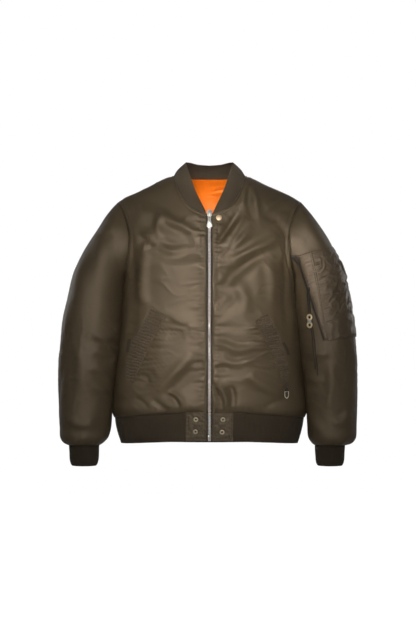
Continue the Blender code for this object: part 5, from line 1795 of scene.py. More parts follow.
# ---------------------------------------------------------------- knitted ribs
@dataclass
class Ribs:
    """The knitted collar, cuffs and hem, with their ribs standing in the knit."""

    shop: Workshop
    torso: Torso
    half_wall: float = 1.2
    pitch: float = 3.5
    rib_height: float = 0.75
    columns_a_rib: int = 4

    def rib_columns(self, fine: Array, line: Array) -> Array:
        """Places of the columns that whole ribs need along a line."""
        count = round(length_of(line) / self.pitch)
        return even(fine, line, count * self.columns_a_rib)

    def ribs(self, count: int) -> Array:
        """Height of the ribs at each of a number of columns."""
        phase = np.arange(count) / self.columns_a_rib
        broad = 0.25 * np.abs(np.sin(np.pi * phase / 5)) ** 0.4 - 0.25
        return self.rib_height * (np.abs(np.sin(np.pi * phase)) ** 0.6 + broad)

    def band(
        self, name: str, outer: Array, outward: Array, edge_first: bool, closed: bool, cut: Pair
    ) -> bpy.types.Object:
        """Closed knitted band, doubled over at its free edge.

        Args:
            name: Name of the object.
            outer: Grid of its outer face, rows up.
            outward: Rough directions away from its inside.
            edge_first: Whether the free edge is the first row, not the last.
            closed: Whether the band is a ring.
            cut: Flat width and length in metres.

        Returns:
            The band.
        """
        if edge_first:
            outer, outward = outer[::-1], np.broadcast_to(outward, outer.shape)[::-1]
        normals = grid_normals(outer, outward, closed)
        up = unit(np.gradient(outer, axis=0))
        ribs = self.ribs(outer.shape[1])[None, :, None]
        middle = outer - normals * self.half_wall
        rows = [middle + normals * (self.half_wall - self.rib_height + ribs)]
        for turn in (0.25 * np.pi, 0.5 * np.pi, 0.75 * np.pi):
            way = normals[-1] * math.cos(turn) + up[-1] * math.sin(turn)
            cap = middle[-1] + self.half_wall * way
            rows.append((cap + normals[-1] * (ribs[0] - self.rib_height) * math.cos(turn))[None])
        rows.append((middle - normals * (self.half_wall - self.rib_height + ribs))[::-1])
        points = np.concatenate([*rows, rows[0][:1]])
        rib = np.arange(outer.shape[1] - 1) / self.columns_a_rib
        # Columns in the valleys between ribs take the near-black second finish as painted shade; a
        # random third of the ribs take it whole as well.
        sunk = np.random.default_rng(5).random(int(rib[-1]) + 1)[rib.astype(int)] < 0.34
        groove = (np.abs(np.sin(np.pi * (rib + 0.5 / self.columns_a_rib))) < 0.6) | sunk
        shaded = np.repeat(groove[None], len(points) - 1, axis=0)
        band = grid_mesh(name, points, (cut[0], 2 * cut[1]), closed=True, shaded=shaded)
        close_ends(band)
        return band

    def build_collar(self, cut: Pair = (0.49, 0.06)) -> None:
        """Make the collar, from one end of the zip round the neck to the other.

        Args:
            cut: Flat width and height in metres.
        """
        fine = np.linspace(0, NECK_COLUMNS, 120)
        top_row = np.full(fine.shape, float(ROWS))
        front = self.torso.panel(Side.FRONT, top_row, fine)
        back = self.torso.panel(Side.BACK, top_row, fine)[::-1]
        foot = np.concatenate([front, back[1:]])
        foot[0, 0] = FRONT_EDGE_X + 1.0
        lengths = lengths_along(foot)
        parts = lengths / lengths[-1]
        whole = np.concatenate([foot, mirrored(foot[-2::-1], Wearer.RIGHT)])
        both = np.concatenate([parts, 2 - parts[-2::-1]])
        at = self.rib_columns(both, whole)
        base = sampled(at, both, whole)
        part = np.minimum(at, 2 - at)
        side = np.where(at > 1, -1.0, 1.0)
        top = np.stack([column(COLLAR_TOP, "part", axis)(part) for axis in "xyz"], axis=-1)
        top[:, 0] *= side
        share = np.linspace(-0.03, 1, 13)[:, None, None]
        line = (1 - share) * base + share * top
        wide = np.linalg.norm(top - base, axis=1)[:, None]
        out = unit((line - np.array([0, -10, -20])) * [1, 1, 0])
        noise = Noise(71)
        waves = 1.2 * noise(at[None] * 7, share[..., 0] * 2)
        bulge = (
            COLLAR_BULGE * np.sin(np.pi * share) * np.minimum(wide / 40, 1)
            + waves[..., None] * np.sin(np.pi * share)
        )
        collar = self.band("knit_collar", line + out * bulge, out, False, False, cut)
        self.shop.dress(collar, "rib_knit", ["rib_knit", "rib_painted_shade"], ["collar"])

    def build_cuffs(self, cut: Pair = (0.235, 0.058)) -> None:
        """Make the two cuffs.

        Args:
            cut: Flat width round the wrist and height in metres.
        """
        for wearer in Wearer:
            centre = wearer.value * CUFF_CENTRE_X - (SWING_CUFF if wearer is Wearer.RIGHT else 0)
            z = np.linspace(CUFF[0].z + 4, CUFF[-1].z + 0.8, 14)[:, None]
            ribs = 70
            turn = np.linspace(0, TURN, ribs * self.columns_a_rib + 1)[None]
            half_width, half_depth = (
                column(CUFF, "z", key)(z) for key in ("half_width", "half_depth")
            )
            noise = Noise(81 + wearer.value)
            wave = 1 + 0.018 * noise(2.2 * np.cos(turn) + 4 + 0 * z, 2.2 * np.sin(turn) + z / 24)
            x = centre + half_width * wave * np.cos(turn)
            y = CUFF_CENTRE_Y + half_depth * wave * np.sin(turn)
            outer = np.stack(np.broadcast_arrays(x, y, z), axis=-1)
            outward = outer - np.array([centre, CUFF_CENTRE_Y, 0]) * [1, 1, 0]
            name = f"cuff_{wearer.name.lower()}"
            cuff = self.band(f"knit_{name}", outer, outward * [1, 1, 0], False, True, cut)
            # The cuffs take the darker copy of the rib knit: painted shade.
            self.shop.dress(cuff, "rib_knit", ["rib_knit_shaded", "rib_painted_shade"], [name])

    def build_hem(self, tab_width: float, cut: Pair = (1.12, 0.07)) -> None:
        """Make the knitted hem, from one woven tab round the back to the other.

        Args:
            tab_width: Width of each tab in millimetres.
            cut: Flat width and height in metres.
        """
        begin = FRONT_EDGE_X + tab_width - 1.2
        part = np.linspace(0.0, 1.06, 14)[:, None]
        inside = np.minimum(part, 1.0)

        def ring(u: Array) -> Array:
            """Points for places u from 0 at one tab to 4 at the other."""
            half = np.where(u > 2, 4 - u, u)
            front = half <= 1
            t = np.where(front, half, 2 - half)
            start = np.where(front, begin, 0.0)
            x = start + (self.torso.hem_half(inside) - start) * np.sin(0.5 * np.pi * t)
            y = np.where(
                front, self.torso.hem_depth(x, inside, Side.FRONT),
                self.torso.hem_depth(x, inside, Side.BACK),
            )
            level = np.where(
                front, self.torso.hem_level(x, part, Side.FRONT),
                self.torso.hem_level(x, part, Side.BACK),
            )
            return np.stack(
                [x * np.where(u > 2, -1.0, 1.0), y * np.ones_like(part), level], axis=-1
            )

        fine = np.linspace(0, 4, 801)
        at = self.rib_columns(fine, ring(fine[None])[8])
        outer = ring(at[None])
        noise = Noise(91)
        pull = (
            1.5 * noise(at[None] * 11 + 0 * part, part * 1.5) * np.sin(np.pi * part)
            + 0.9 * noise(at[None] * 31, part * 2) * part * (1 - part) * 4
        )
        pull -= 3.2 * ease((part - 0.985) / 0.04)
        outward = outer * [1, 1, 0]
        outer = outer + grid_normals(outer, outward) * pull[..., None]
        hem = self.band("knit_hem", outer, outward, True, False, cut)
        # The hem takes the darker copy of the rib knit: painted shade.
        self.shop.dress(hem, "rib_knit", ["rib_knit_shaded", "rib_painted_shade"], ["hem_rib"])


# ---------------------------------------------------------------- hard trim
def plate(
    outline: Sequence[Pair],
    low: float,
    high: float,
    holes: Sequence[Sequence[Pair]] = (),
    bevel: float = 0.25,
    side_on: bool = False,
) -> bmesh.types.BMesh:
    """Flat plate over an outline, with holes and rounded edges, in metres.

    Args:
        outline: Places (right, up) in millimetres, or (out, up) if side_on.
        low: Where the plate begins, out of the cloth, or to the right if side_on.
        high: Where it ends.
        holes: Outlines of its holes.
        bevel: Radius of the edges.
        side_on: Whether the plate stands on edge, seen along its outline.

    Returns:
        The plate, with local x right, y into the cloth and z up.
    """
    bm = bmesh.new()
    edges = []
    for loop in (outline, *holes):
        verts = [bm.verts.new((low, -a, b) if side_on else (a, -low, b)) for a, b in loop]
        edges += [bm.edges.new((verts[i - 1], verts[i])) for i in range(len(verts))]
    bmesh.ops.triangle_fill(bm, edges=edges, use_beauty=True, use_dissolve=True)
    raised = bmesh.ops.extrude_face_region(bm, geom=bm.faces[:])["geom"]
    shift = (high - low, 0, 0) if side_on else (0, low - high, 0)
    bmesh.ops.translate(
        bm, vec=shift, verts=[v for v in raised if isinstance(v, bmesh.types.BMVert)]
    )
    bmesh.ops.recalc_face_normals(bm, faces=bm.faces)
    if bevel:
        inner = [edge for edge in bm.edges if len(edge.link_faces) == 2]
        sharp = [edge for edge in inner if edge.calc_face_angle(0) > BEVELLED_ANGLE]
        bmesh.ops.bevel(
            bm, geom=sharp, offset=bevel, offset_type="OFFSET", segments=2, profile=0.5,
            affect="EDGES", material=-1, clamp_overlap=True,
        )
    bmesh.ops.scale(bm, vec=(METRES,) * 3, verts=bm.verts)
    return bm


def turned(profile: Sequence[Pair], segments: int = 40) -> bmesh.types.BMesh:
    """Closed turned piece about the way out of the cloth, in metres.

    Args:
        profile: Places (radius, out) in millimetres; a loop unless it starts and ends on the axis.
        segments: Steps round it.

    Returns:
        The piece, with local x right, y into the cloth and z up.
    """
    bm = bmesh.new()
    verts = [bm.verts.new((r * METRES, -out * METRES, 0)) for r, out in profile]
    edges = [bm.edges.new(pair) for pair in zip(verts, verts[1:])]
    if profile[0][0] > 0:
        edges.append(bm.edges.new((verts[-1], verts[0])))
    bmesh.ops.spin(
        bm,
        geom=verts + edges,
        axis=(0, 1, 0),
        cent=(0, 0, 0),
        angle=TURN,
        steps=segments,
        use_merge=True,
    )
    bmesh.ops.remove_doubles(bm, verts=bm.verts, dist=MERGE_DISTANCE)
    bmesh.ops.recalc_face_normals(bm, faces=bm.faces)
    return bm


def both_sides(half: Sequence[Pair]) -> list[Pair]:
    """Outline out of its right half, top to bottom."""
    return [*half, *((-x, z) for x, z in reversed(half) if x > 0)]


def box_outline(half_width: float, low: float, high: float) -> list[Pair]:
    """Corners of an upright rectangle."""
    return [(-half_width, low), (half_width, low), (half_width, high), (-half_width, high)]


def set_down(bm: bmesh.types.BMesh, matrix: Matrix) -> bmesh.types.BMesh:
    """Move a piece to its place."""
    bmesh.ops.transform(bm, matrix=matrix, verts=bm.verts)
    return bm


def repeated(name: str, shape: bmesh.types.BMesh, places: Array, axes: Array) -> bpy.types.Object:
    """Many copies of one small shape in one mesh.

    Args:
        name: Name of the object.
        shape: The shape in millimetres, used up.
        places: Place of each copy in millimetres.
        axes: Its three local axes, one to a row.

    Returns:
        The new object.
    """
    mesh, corners = copied(name, shape, len(places))
    move_to(mesh, places[:, None] + np.einsum("vi,nij->nvj", corners, axes))
    mesh.shade_smooth()
    return linked(name, mesh)


@dataclass
class FrontZip:
    """Tapes, teeth, end box, slider and pull tab of the front zip."""

    shop: Workshop
    torso: Torso
    pitch: float = 2.5
    top: float = -101.2
    box_height: float = 15.0
    pull_up: float = -102.5
    pull_out: float = 4.4
    tooth: Triple = (4.7, 2.5, 1.5)
    tooth_at: Triple = (1.45, 2.3, 0)

    def build_tapes(self) -> None:
        """Make the two woven tapes."""
        z = np.linspace(HEM_EDGE + 0.5, self.top, 200)[:, None]
        for wearer in Wearer:
            x = np.linspace(2.8, 15.0, 8)[None] + 0 * z
            bead = 0.7 * bell(x - 4.6, 0.9)
            y = self.torso.front_depth(x, z + 0 * x) + 3.0 - bead
            points = mirrored(np.stack([x, y, z + 0 * x], axis=-1), wearer)
            name = f"tape_{wearer.name.lower()}"
            tape = grid_mesh(name, points, (0.011, 0.568))
            facing(tape, lambda p: p + [0, 0.02, 0])
            thicken(tape, 0.8)
            self.shop.dress(tape, "zip_tape", ["zip_tape"], [f"zip_{name}"])

    def build_teeth(self) -> None:
        """Make the two rows of interlocked teeth in one mesh."""
        low = HEM_EDGE + self.box_height + 0.8
        count = int((self.top - low) / (0.5 * self.pitch))
        z = low + (np.arange(count) + 0.5) * (self.top - low) / count
        bm = bmesh.new()
        bmesh.ops.create_cube(bm, size=1.0)
        bmesh.ops.scale(bm, vec=self.tooth, verts=bm.verts)
        bmesh.ops.translate(bm, vec=self.tooth_at, verts=bm.verts)
        for vert in bm.verts:
            if vert.co.x > 0:
                vert.co.z *= 0.8
        bmesh.ops.bevel(
            bm, geom=bm.edges[:], offset=0.35, offset_type="OFFSET", segments=1, profile=0.5,
            affect="EDGES", material=-1, clamp_overlap=True,
        )
        side = np.where(np.arange(count) % 2 == 0, 1.0, -1.0)
        x = np.zeros(count)
        places = self.torso.front_points(x, z)
        out = self.torso.outward(x, z)
        right = np.stack([side, 0 * x, 0 * x], axis=-1)
        up = np.cross(np.array([1.0, 0, 0]), -out)
        teeth = repeated("teeth", bm, places, np.stack([right, -out, up * side[:, None]], axis=1))
        self.shop.dress(teeth, "nickel", ["zip_nickel"], ["zip_chain"])

    def build_box(self) -> None:
        """Make the end box and its pin."""
        half = 0.5 * self.box_height
        seat = self.torso.seat(0.0, HEM_EDGE + half)
        body = plate(box_outline(3.8, -half, half), -4.2, 0.9, bevel=0.7)
        groove = plate(box_outline(0.55, -half + 2, half - 1.5), 0.8, 1.15, bevel=0.12)
        collar = plate(box_outline(3.95, half - 3.2, half - 2.0), -4.0, 1.1, bevel=0.3)
        box = joined("end_box", [set_down(part, seat) for part in (body, groove, collar)])
        self.shop.dress(box, "nickel", ["nickel"], ["zip_box"])

    def build_slider(self) -> None:
        """Make the slider with its bail."""
        seat = self.torso.seat(0.0, self.pull_up)
        face = [
            (1.2, 11.3), (4.6, 10.9), (6.3, 8.4), (6.5, 5.5), (5.9, -0.5), (5.9, -5.0), (4.9, -5.4),
            (1.2, -5.4),
        ]
        front = plate(both_sides(face), 0.2, 2.3, bevel=0.6)
        lip = plate(both_sides([(5.9, 5.0), (5.3, -3.5)]), 2.2, 2.8, bevel=0.25)
        back = plate(both_sides([(3.2, 11.3), (3.3, 3), (3.2, -3.4)]), -4.6, -3.9, bevel=0.2)
        neck = plate(box_outline(1.3, 3.4, 10.8), -4.0, 0.4, bevel=0.2)
        hoop = [
            (1.8, -5.6), (4.2, -6.0), (6.2, -5.2), (7.2, -3.0), (7.3, 0), (7.2, 3.0), (6.2, 5.2),
            (4.2, 6.0), (1.8, 6.0),
        ]
        gap = [(2.6, -3.6), (4.6, -3.7), (5.7, -2.7), (5.9, 0), (5.7, 2.7), (4.6, 3.7), (2.6, 3.6)]
        bail = plate(hoop, -1.1, 1.1, [gap], 0.4, side_on=True)
        slider = joined("slider", [set_down(part, seat) for part in (front, lip, back, neck, bail)])
        self.shop.dress(slider, "nickel", ["nickel"], ["zip_slider"])

    def build_pull(self) -> None:
        """Make the pull tab with its window and slot."""
        seat = self.torso.seat(0.0, self.pull_up, self.pull_out)
        edge = [
            (3.4, 1.7), (4.3, 0.6), (4.3, -11), (4.0, -13.5), (3.6, -16), (4.2, -20), (5.2, -24),
            (6.4, -28), (7.0, -31), (7.0, -33), (6.2, -34.8), (4.5, -35.5),
        ]
        window = [
            (-2.2, -0.7), (2.2, -0.7), (2.6, -1.3), (2.6, -8.0), (1.8, -8.9), (-1.8, -8.9),
            (-2.6, -8.0), (-2.6, -1.3),
        ]
        slot = [
            (-3.2, -30.6), (3.2, -30.6), (3.7, -31.1), (3.7, -32.5), (3.2, -33.0), (-3.2, -33.0),
            (-3.7, -32.5), (-3.7, -31.1),
        ]
        tab = plate(both_sides(edge), -0.75, 0.75, [window, slot], 0.3)
        rib = plate(both_sides([(1.0, -13.0), (1.6, -20), (2.4, -27.0)]), 0.6, 1.05, bevel=0.25)
        pull = joined("pull_tab", [set_down(part, seat) for part in (tab, rib)])
        self.shop.dress(pull, "nickel", ["nickel"], ["zip_pull"], "zip_pull")

    def build(self) -> None:
        """Make the whole zip."""
        self.build_tapes()
        self.build_teeth()
        self.build_box()
        self.build_slider()
        self.build_pull()


# ---------------------------------------------------------------- cloth trim
@dataclass
class HemTabs:
    """Woven ends of the hem beside the zip, with their eyelets, and the neck snap."""

    shop: Workshop
    torso: Torso
    width: float = 51.5
    eyelets: tuple[tuple[str, float, float], ...] = (
        ("eyelet_right_upper", -34.0, -615.0),
        ("eyelet_right_lower", -35.0, -645.5),
        ("eyelet_left_upper", 33.6, -615.0),
        ("eyelet_left_lower", 31.4, -646.5),
    )
    snap_at: Pair = (23.5, -112.0)

    def build_tabs(self) -> None:
        """Make the two tabs, doubled cloth that dips at its stitches and eyelets."""
        for wearer in Wearer:
            across = np.linspace(0, 1, 38)[None]
            part = np.linspace(0, 1.07, 49)[:, None]
            x = FRONT_EDGE_X + self.width * across + 0 * part
            z = self.torso.hem_level(x, part, Side.FRONT)
            y = self.torso.hem_depth(x, np.minimum(part, 1) + 0 * x, Side.FRONT)
            edge = np.minimum.reduce(
                [
                    x - FRONT_EDGE_X, FRONT_EDGE_X + self.width - x, (z - z[:1]),
                    np.abs(self.torso.hem_z(x, Side.FRONT) - z),
                ]
            )
            puff = 1.9 * filled(edge, 1.8) - 1.3 * bell(edge - 5.0, 1.5)
            noise = Noise(131 + wearer.value)
            puff += (1.3 * noise(x / 11, z / 7) + 0.8 * noise(x / 5 + 9, z / 5)) * ease(edge / 3)
            for _, hole_x, hole_z in self.eyelets:
                if hole_x * wearer.value > 0:
                    apart = np.hypot(x - abs(hole_x), z - hole_z)
                    free = ease((apart - 5.5) / 5)
                    puff = puff * free + 0.15 * (1 - free)
            puff -= 3.4 * ease((part - 0.985) / 0.04)
            base = np.stack([x, y, z], axis=-1)
            normals = grid_normals(base, np.array([0.0, -1.0, 0.0]))
            points = mirrored(base + normals * puff[..., None], wearer)
            name = f"hem_tab_{wearer.name.lower()}"
            tab = grid_mesh(f"woven_{name}", points, (0.052, 0.072))
            facing(tab, lambda p: p * [1, 0, 1])
            self.pierce(tab)
            thicken(tab, 2.4)
            self.shop.dress(tab, "nylon", ["nylon_trim"], [name])

    def pierce(self, tab: bpy.types.Object, radius: float = 4.2) -> None:
        """Open the cloth of a tab behind its eyelets."""
        bm = bmesh.new()
        bm.from_mesh(tab.data)
        cut = []
        for face in bm.faces:
            x, _, z = face.calc_center_median() / METRES
            if any(math.hypot(x - at_x, z - at_z) < radius for _, at_x, at_z in self.eyelets):
                cut.append(face)
        bmesh.ops.delete(bm, geom=cut, context="FACES")
        bm.to_mesh(tab.data)
        bm.free()

    def build_eyelets(self) -> None:
        """Make the four rolled eyelets, with dark discs set in their holes as painted shadow."""
        rolled = [
            (2.7, 0.9), (3.2, 1.45), (4.1, 1.6), (5.1, 1.35), (5.9, 0.8), (6.1, 0.3), (4.4, 0.25),
            (3.7, -0.6), (3.7, -3.2), (2.7, -3.2),
        ]
        for name, x, z in self.eyelets:
            seat = self.torso.seat(x, z)
            ring = joined(f"rolled_{name}", [set_down(turned(rolled), seat)])
            self.shop.dress(ring, "nickel", ["aged_nickel"], [name])
        # Dark discs inside the eyelet holes: painted shadow where the hole is only shaded.
        hollow = [(0, -1.4), (2.9, -1.4), (2.9, -2.6), (0, -2.6)]
        hollows = [set_down(turned(hollow, 20), self.torso.seat(x, z)) for _, x, z in self.eyelets]
        self.shop.dress(joined("eyelet_painted_shadows", hollows), "dark_metal", ["dark_metal"])

    def build_snap(self) -> None:
        """Make the neck snap's cap with its pressed rim."""
        cap = [
            (0, 3.0), (2.2, 2.9), (4.2, 2.45), (5.4, 1.75), (5.9, 1.25), (6.3, 1.15), (6.8, 0.95),
            (7.0, 0.5), (6.8, 0), (0, 0),
        ]
        snap = joined(
            "snap_cap", [set_down(turned(cap, 48), self.torso.seat(*self.snap_at, lift=0.5))]
        )
        self.shop.dress(snap, "pale_brass", ["cream_cap"], ["neck_snap"])

    def build(self) -> None:
        """Make the tabs, the eyelets and the snap."""
        self.build_tabs()
        self.build_eyelets()
        self.build_snap()


def finer(places: Sequence[Pair], count: int) -> Array:
    """Evenly spaced places on a smooth run through a few."""
    line = spline(places, 12)
    wide = np.concatenate([line, 0 * line[:, :1]], axis=1)
    at = even(np.arange(len(line), dtype=float), wide, count)
    return sampled(at, np.arange(len(line)), line)


@dataclass
class HandPockets:
    """Ruched welts with gathering threads, webbing loops and the ring puller."""

    shop: Workshop
    torso: Torso
    stitches: Stitches
    lines: int = 8
    wide: float = 34.0
    tall: float = 195.0
    slider_at: Pair = (191.5, -541.0)
    tacks: dict[Wearer, Pair] = field(
        default_factory=lambda: {Wearer.RIGHT: (-149.0, -333.0), Wearer.LEFT: (106.0, -366.0)}
    )

    def on_front(self, x: Array, z: Array, lift: Array) -> Array:
        """Points over the plain front."""
        base = self.torso.front_points(x, z)
        return base + self.torso.outward(x, z) * np.asarray(lift)[..., None]

    def build_welts(self) -> None:
        """Make the two ruched welts."""
        for wearer, table in WELTS.items():
            rows, columns = 200, 56
            inner = finer([(w.in_x, w.in_z) for w in table], rows)[:, None]
            outer = finer([(w.out_x, w.out_z) for w in table], rows)[:, None]
            across = np.linspace(0, 1, columns + 1)[None, :, None]
            place = (1 - across) * inner + across * outer
            x, z = place[..., 0] * wearer.value, place[..., 1]
            v = across[..., 0] + 0 * x
            along = np.linspace(0, 1, rows + 1)[:, None] * self.tall + 0 * x
            noise = Noise(141 + wearer.value)
            lane = np.floor(v * self.lines)
            sway = 0.5 * noise(v * 2.5, along / 17) + 0.35 * noise(lane * 3.1, along / 9)
            pucker = np.abs(np.sin(np.pi * (along - 9 * v + 4 * sway) / 8.0)) ** 0.75
            between = 0.45 + 0.55 * np.abs(np.sin(np.pi * v * self.lines)) ** 0.55
            edge = np.minimum(
                np.minimum(v, 1 - v) * self.wide, np.minimum(along, self.tall - along)
            )
            height = (
                0.7 + 1.0 * np.sin(np.pi * v)
                + (0.1 + 4.0 * pucker * (0.85 + 0.5 * noise(along / 11, v * 5))) * between
            )
            height += 0.9 * bell(edge - 1.8, 1.1)
            height *= 1 - bell(edge, 1.1) * 0.75
            points = self.on_front(x, z, height)
            name = f"pocket_welt_{wearer.name.lower()}"
            # Cells in the puckers' hollows and along the welt's edges take the near-black second
            # finish: painted shade in the creases and at the edges.
            welt = grid_mesh(
                f"ruched_{name}",
                points,
                (0.036, 0.23),
                shaded=(pucker[:-1, :-1] < 0.55) | (edge[:-1, :-1] < 1.6),
            )
            facing(welt, lambda p: p * [1, 0, 1])
            thicken(welt, 1.4)
            self.shop.dress(welt, "nylon", ["nylon_ruched", "ruched_painted_shade"], [name])
            self.sew_tack(*self.tacks[wearer])
            self.sew_lines(points, x, z)

    def sew_tack(self, x: float, z: float) -> None:
        """Sew a small cross on the front above a welt."""
        for slope in (-1.0, 1.0):
            t = np.linspace(-6.5, 6.5, 12)
            at = x + 0.75 * t, z + slope * t
            self.stitches.run(self.torso.place(*at, 0.6), self.torso.outward(*at))

    def sew_lines(self, points: Array, x: Array, z: Array) -> None:
        """Sew the gathering threads down a welt.

        Args:
            points: Its points.
            x: Their places across.
            z: Their places up.
        """
        for line in range(1, self.lines):
            at = round((points.shape[1] - 1) * line / self.lines)
            normals = self.torso.outward(x[:, at], z[:, at])
            self.stitches.run(points[:, at] + normals * 0.1, normals)

    def build_loops(self) -> None:
        """Make the two short webbing loops, bowed off the cloth between their tacks."""
        for wearer, ends in LOOPS.items():
            (top_x, top_z), (foot_x, foot_z) = ends
            t = np.linspace(0, 1, 29)[:, None]
            across = np.linspace(-1, 1, 13)[None]
            x = (top_x + (foot_x - top_x) * t + 3.9 * across) * wearer.value
            z = top_z + (foot_z - top_z) * t + 0 * across
            bow = 3.9 + 1.3 * np.sin(np.pi * np.clip((t - 0.12) / 0.76, 0, 1)) - 0.35 * across**2
            weave = 0.12 * np.sin(t * 55)
            points = self.on_front(x, z, bow + weave)
            name = f"pocket_loop_{wearer.name.lower()}"
            loop = grid_mesh(f"webbing_{name}", points, (0.010, 0.036))
            facing(loop, lambda p: p * [1, 0, 1])
            thicken(loop, 1.2)
            self.shop.dress(loop, "nylon", ["webbing"], [name])

    def build_puller(self) -> None:
        """Make the dark slider and the ring that hangs from it."""
        x, z = (np.array([value]) for value in self.slider_at)
        here = self.on_front(x, z, np.zeros(1))[0]
        out = self.torso.outward(x, z)[0]
        step = self.on_front(x + 2, z, np.zeros(1))[0] - self.on_front(x - 2, z, np.zeros(1))[0]
        seat = frame_matrix(here, step * [1, 1, 0], out)
        shield = both_sides([(2.6, 5.0), (4.2, 2.4), (4.4, 0), (3.8, -4.1), (2.6, -4.4)])
        face = plate(shield, 0.5, 2.6, bevel=0.5)
        hoop = [
            (2.0, -8.6), (4.2, -8.9), (5.5, -8.0), (5.7, -5.0), (5.3, -2.2), (3.8, -0.8),
            (2.0, -0.4),
        ]
        gap = [(2.7, -7.2), (3.9, -7.3), (4.5, -6.6), (4.5, -4.0), (3.9, -2.8), (2.7, -2.6)]
        bail = plate(hoop, -1.0, 1.0, [gap], 0.3, side_on=True)
        foot = plate(box_outline(1.8, -9.0, -3.9), 0.8, 2.1, bevel=0.3)
        slider = joined("pocket_zip_slider", [set_down(part, seat) for part in (face, bail, foot)])
        self.shop.dress(slider, "dark_metal", ["dark_metal"], ["pocket_slider"])
        up = np.array(seat.col[2][:3])
        hang = frame_matrix(here + out * 3.3 - up * 5.5, step * [1, 1, 0], out)
        edge = [
            (3.0, 1.3), (6.0, 0.9), (6.4, 0.2), (6.4, -9.0), (5.8, -12.0), (4.4, -14.6),
            (2.2, -16.4), (0.0, -17.0),
        ]
        hole = [
            (-4.0, -0.6), (4.0, -0.6), (4.6, -1.2), (4.6, -9.0), (4.1, -11.2), (3.0, -13.0),
            (1.4, -14.3), (-1.4, -14.3), (-3.0, -13.0), (-4.1, -11.2), (-4.6, -9.0), (-4.6, -1.2),
        ]
        ring = joined(
            "pocket_puller", [set_down(plate(both_sides(edge), -0.75, 0.75, [hole], 0.4), hang)]
        )
        self.shop.dress(ring, "nickel", ["pale_nickel"], ["pocket_ring"], "pocket_ring")

    def build(self) -> None:
        """Make both hand pockets."""
        self.build_welts()
        self.build_loops()
        self.build_puller()


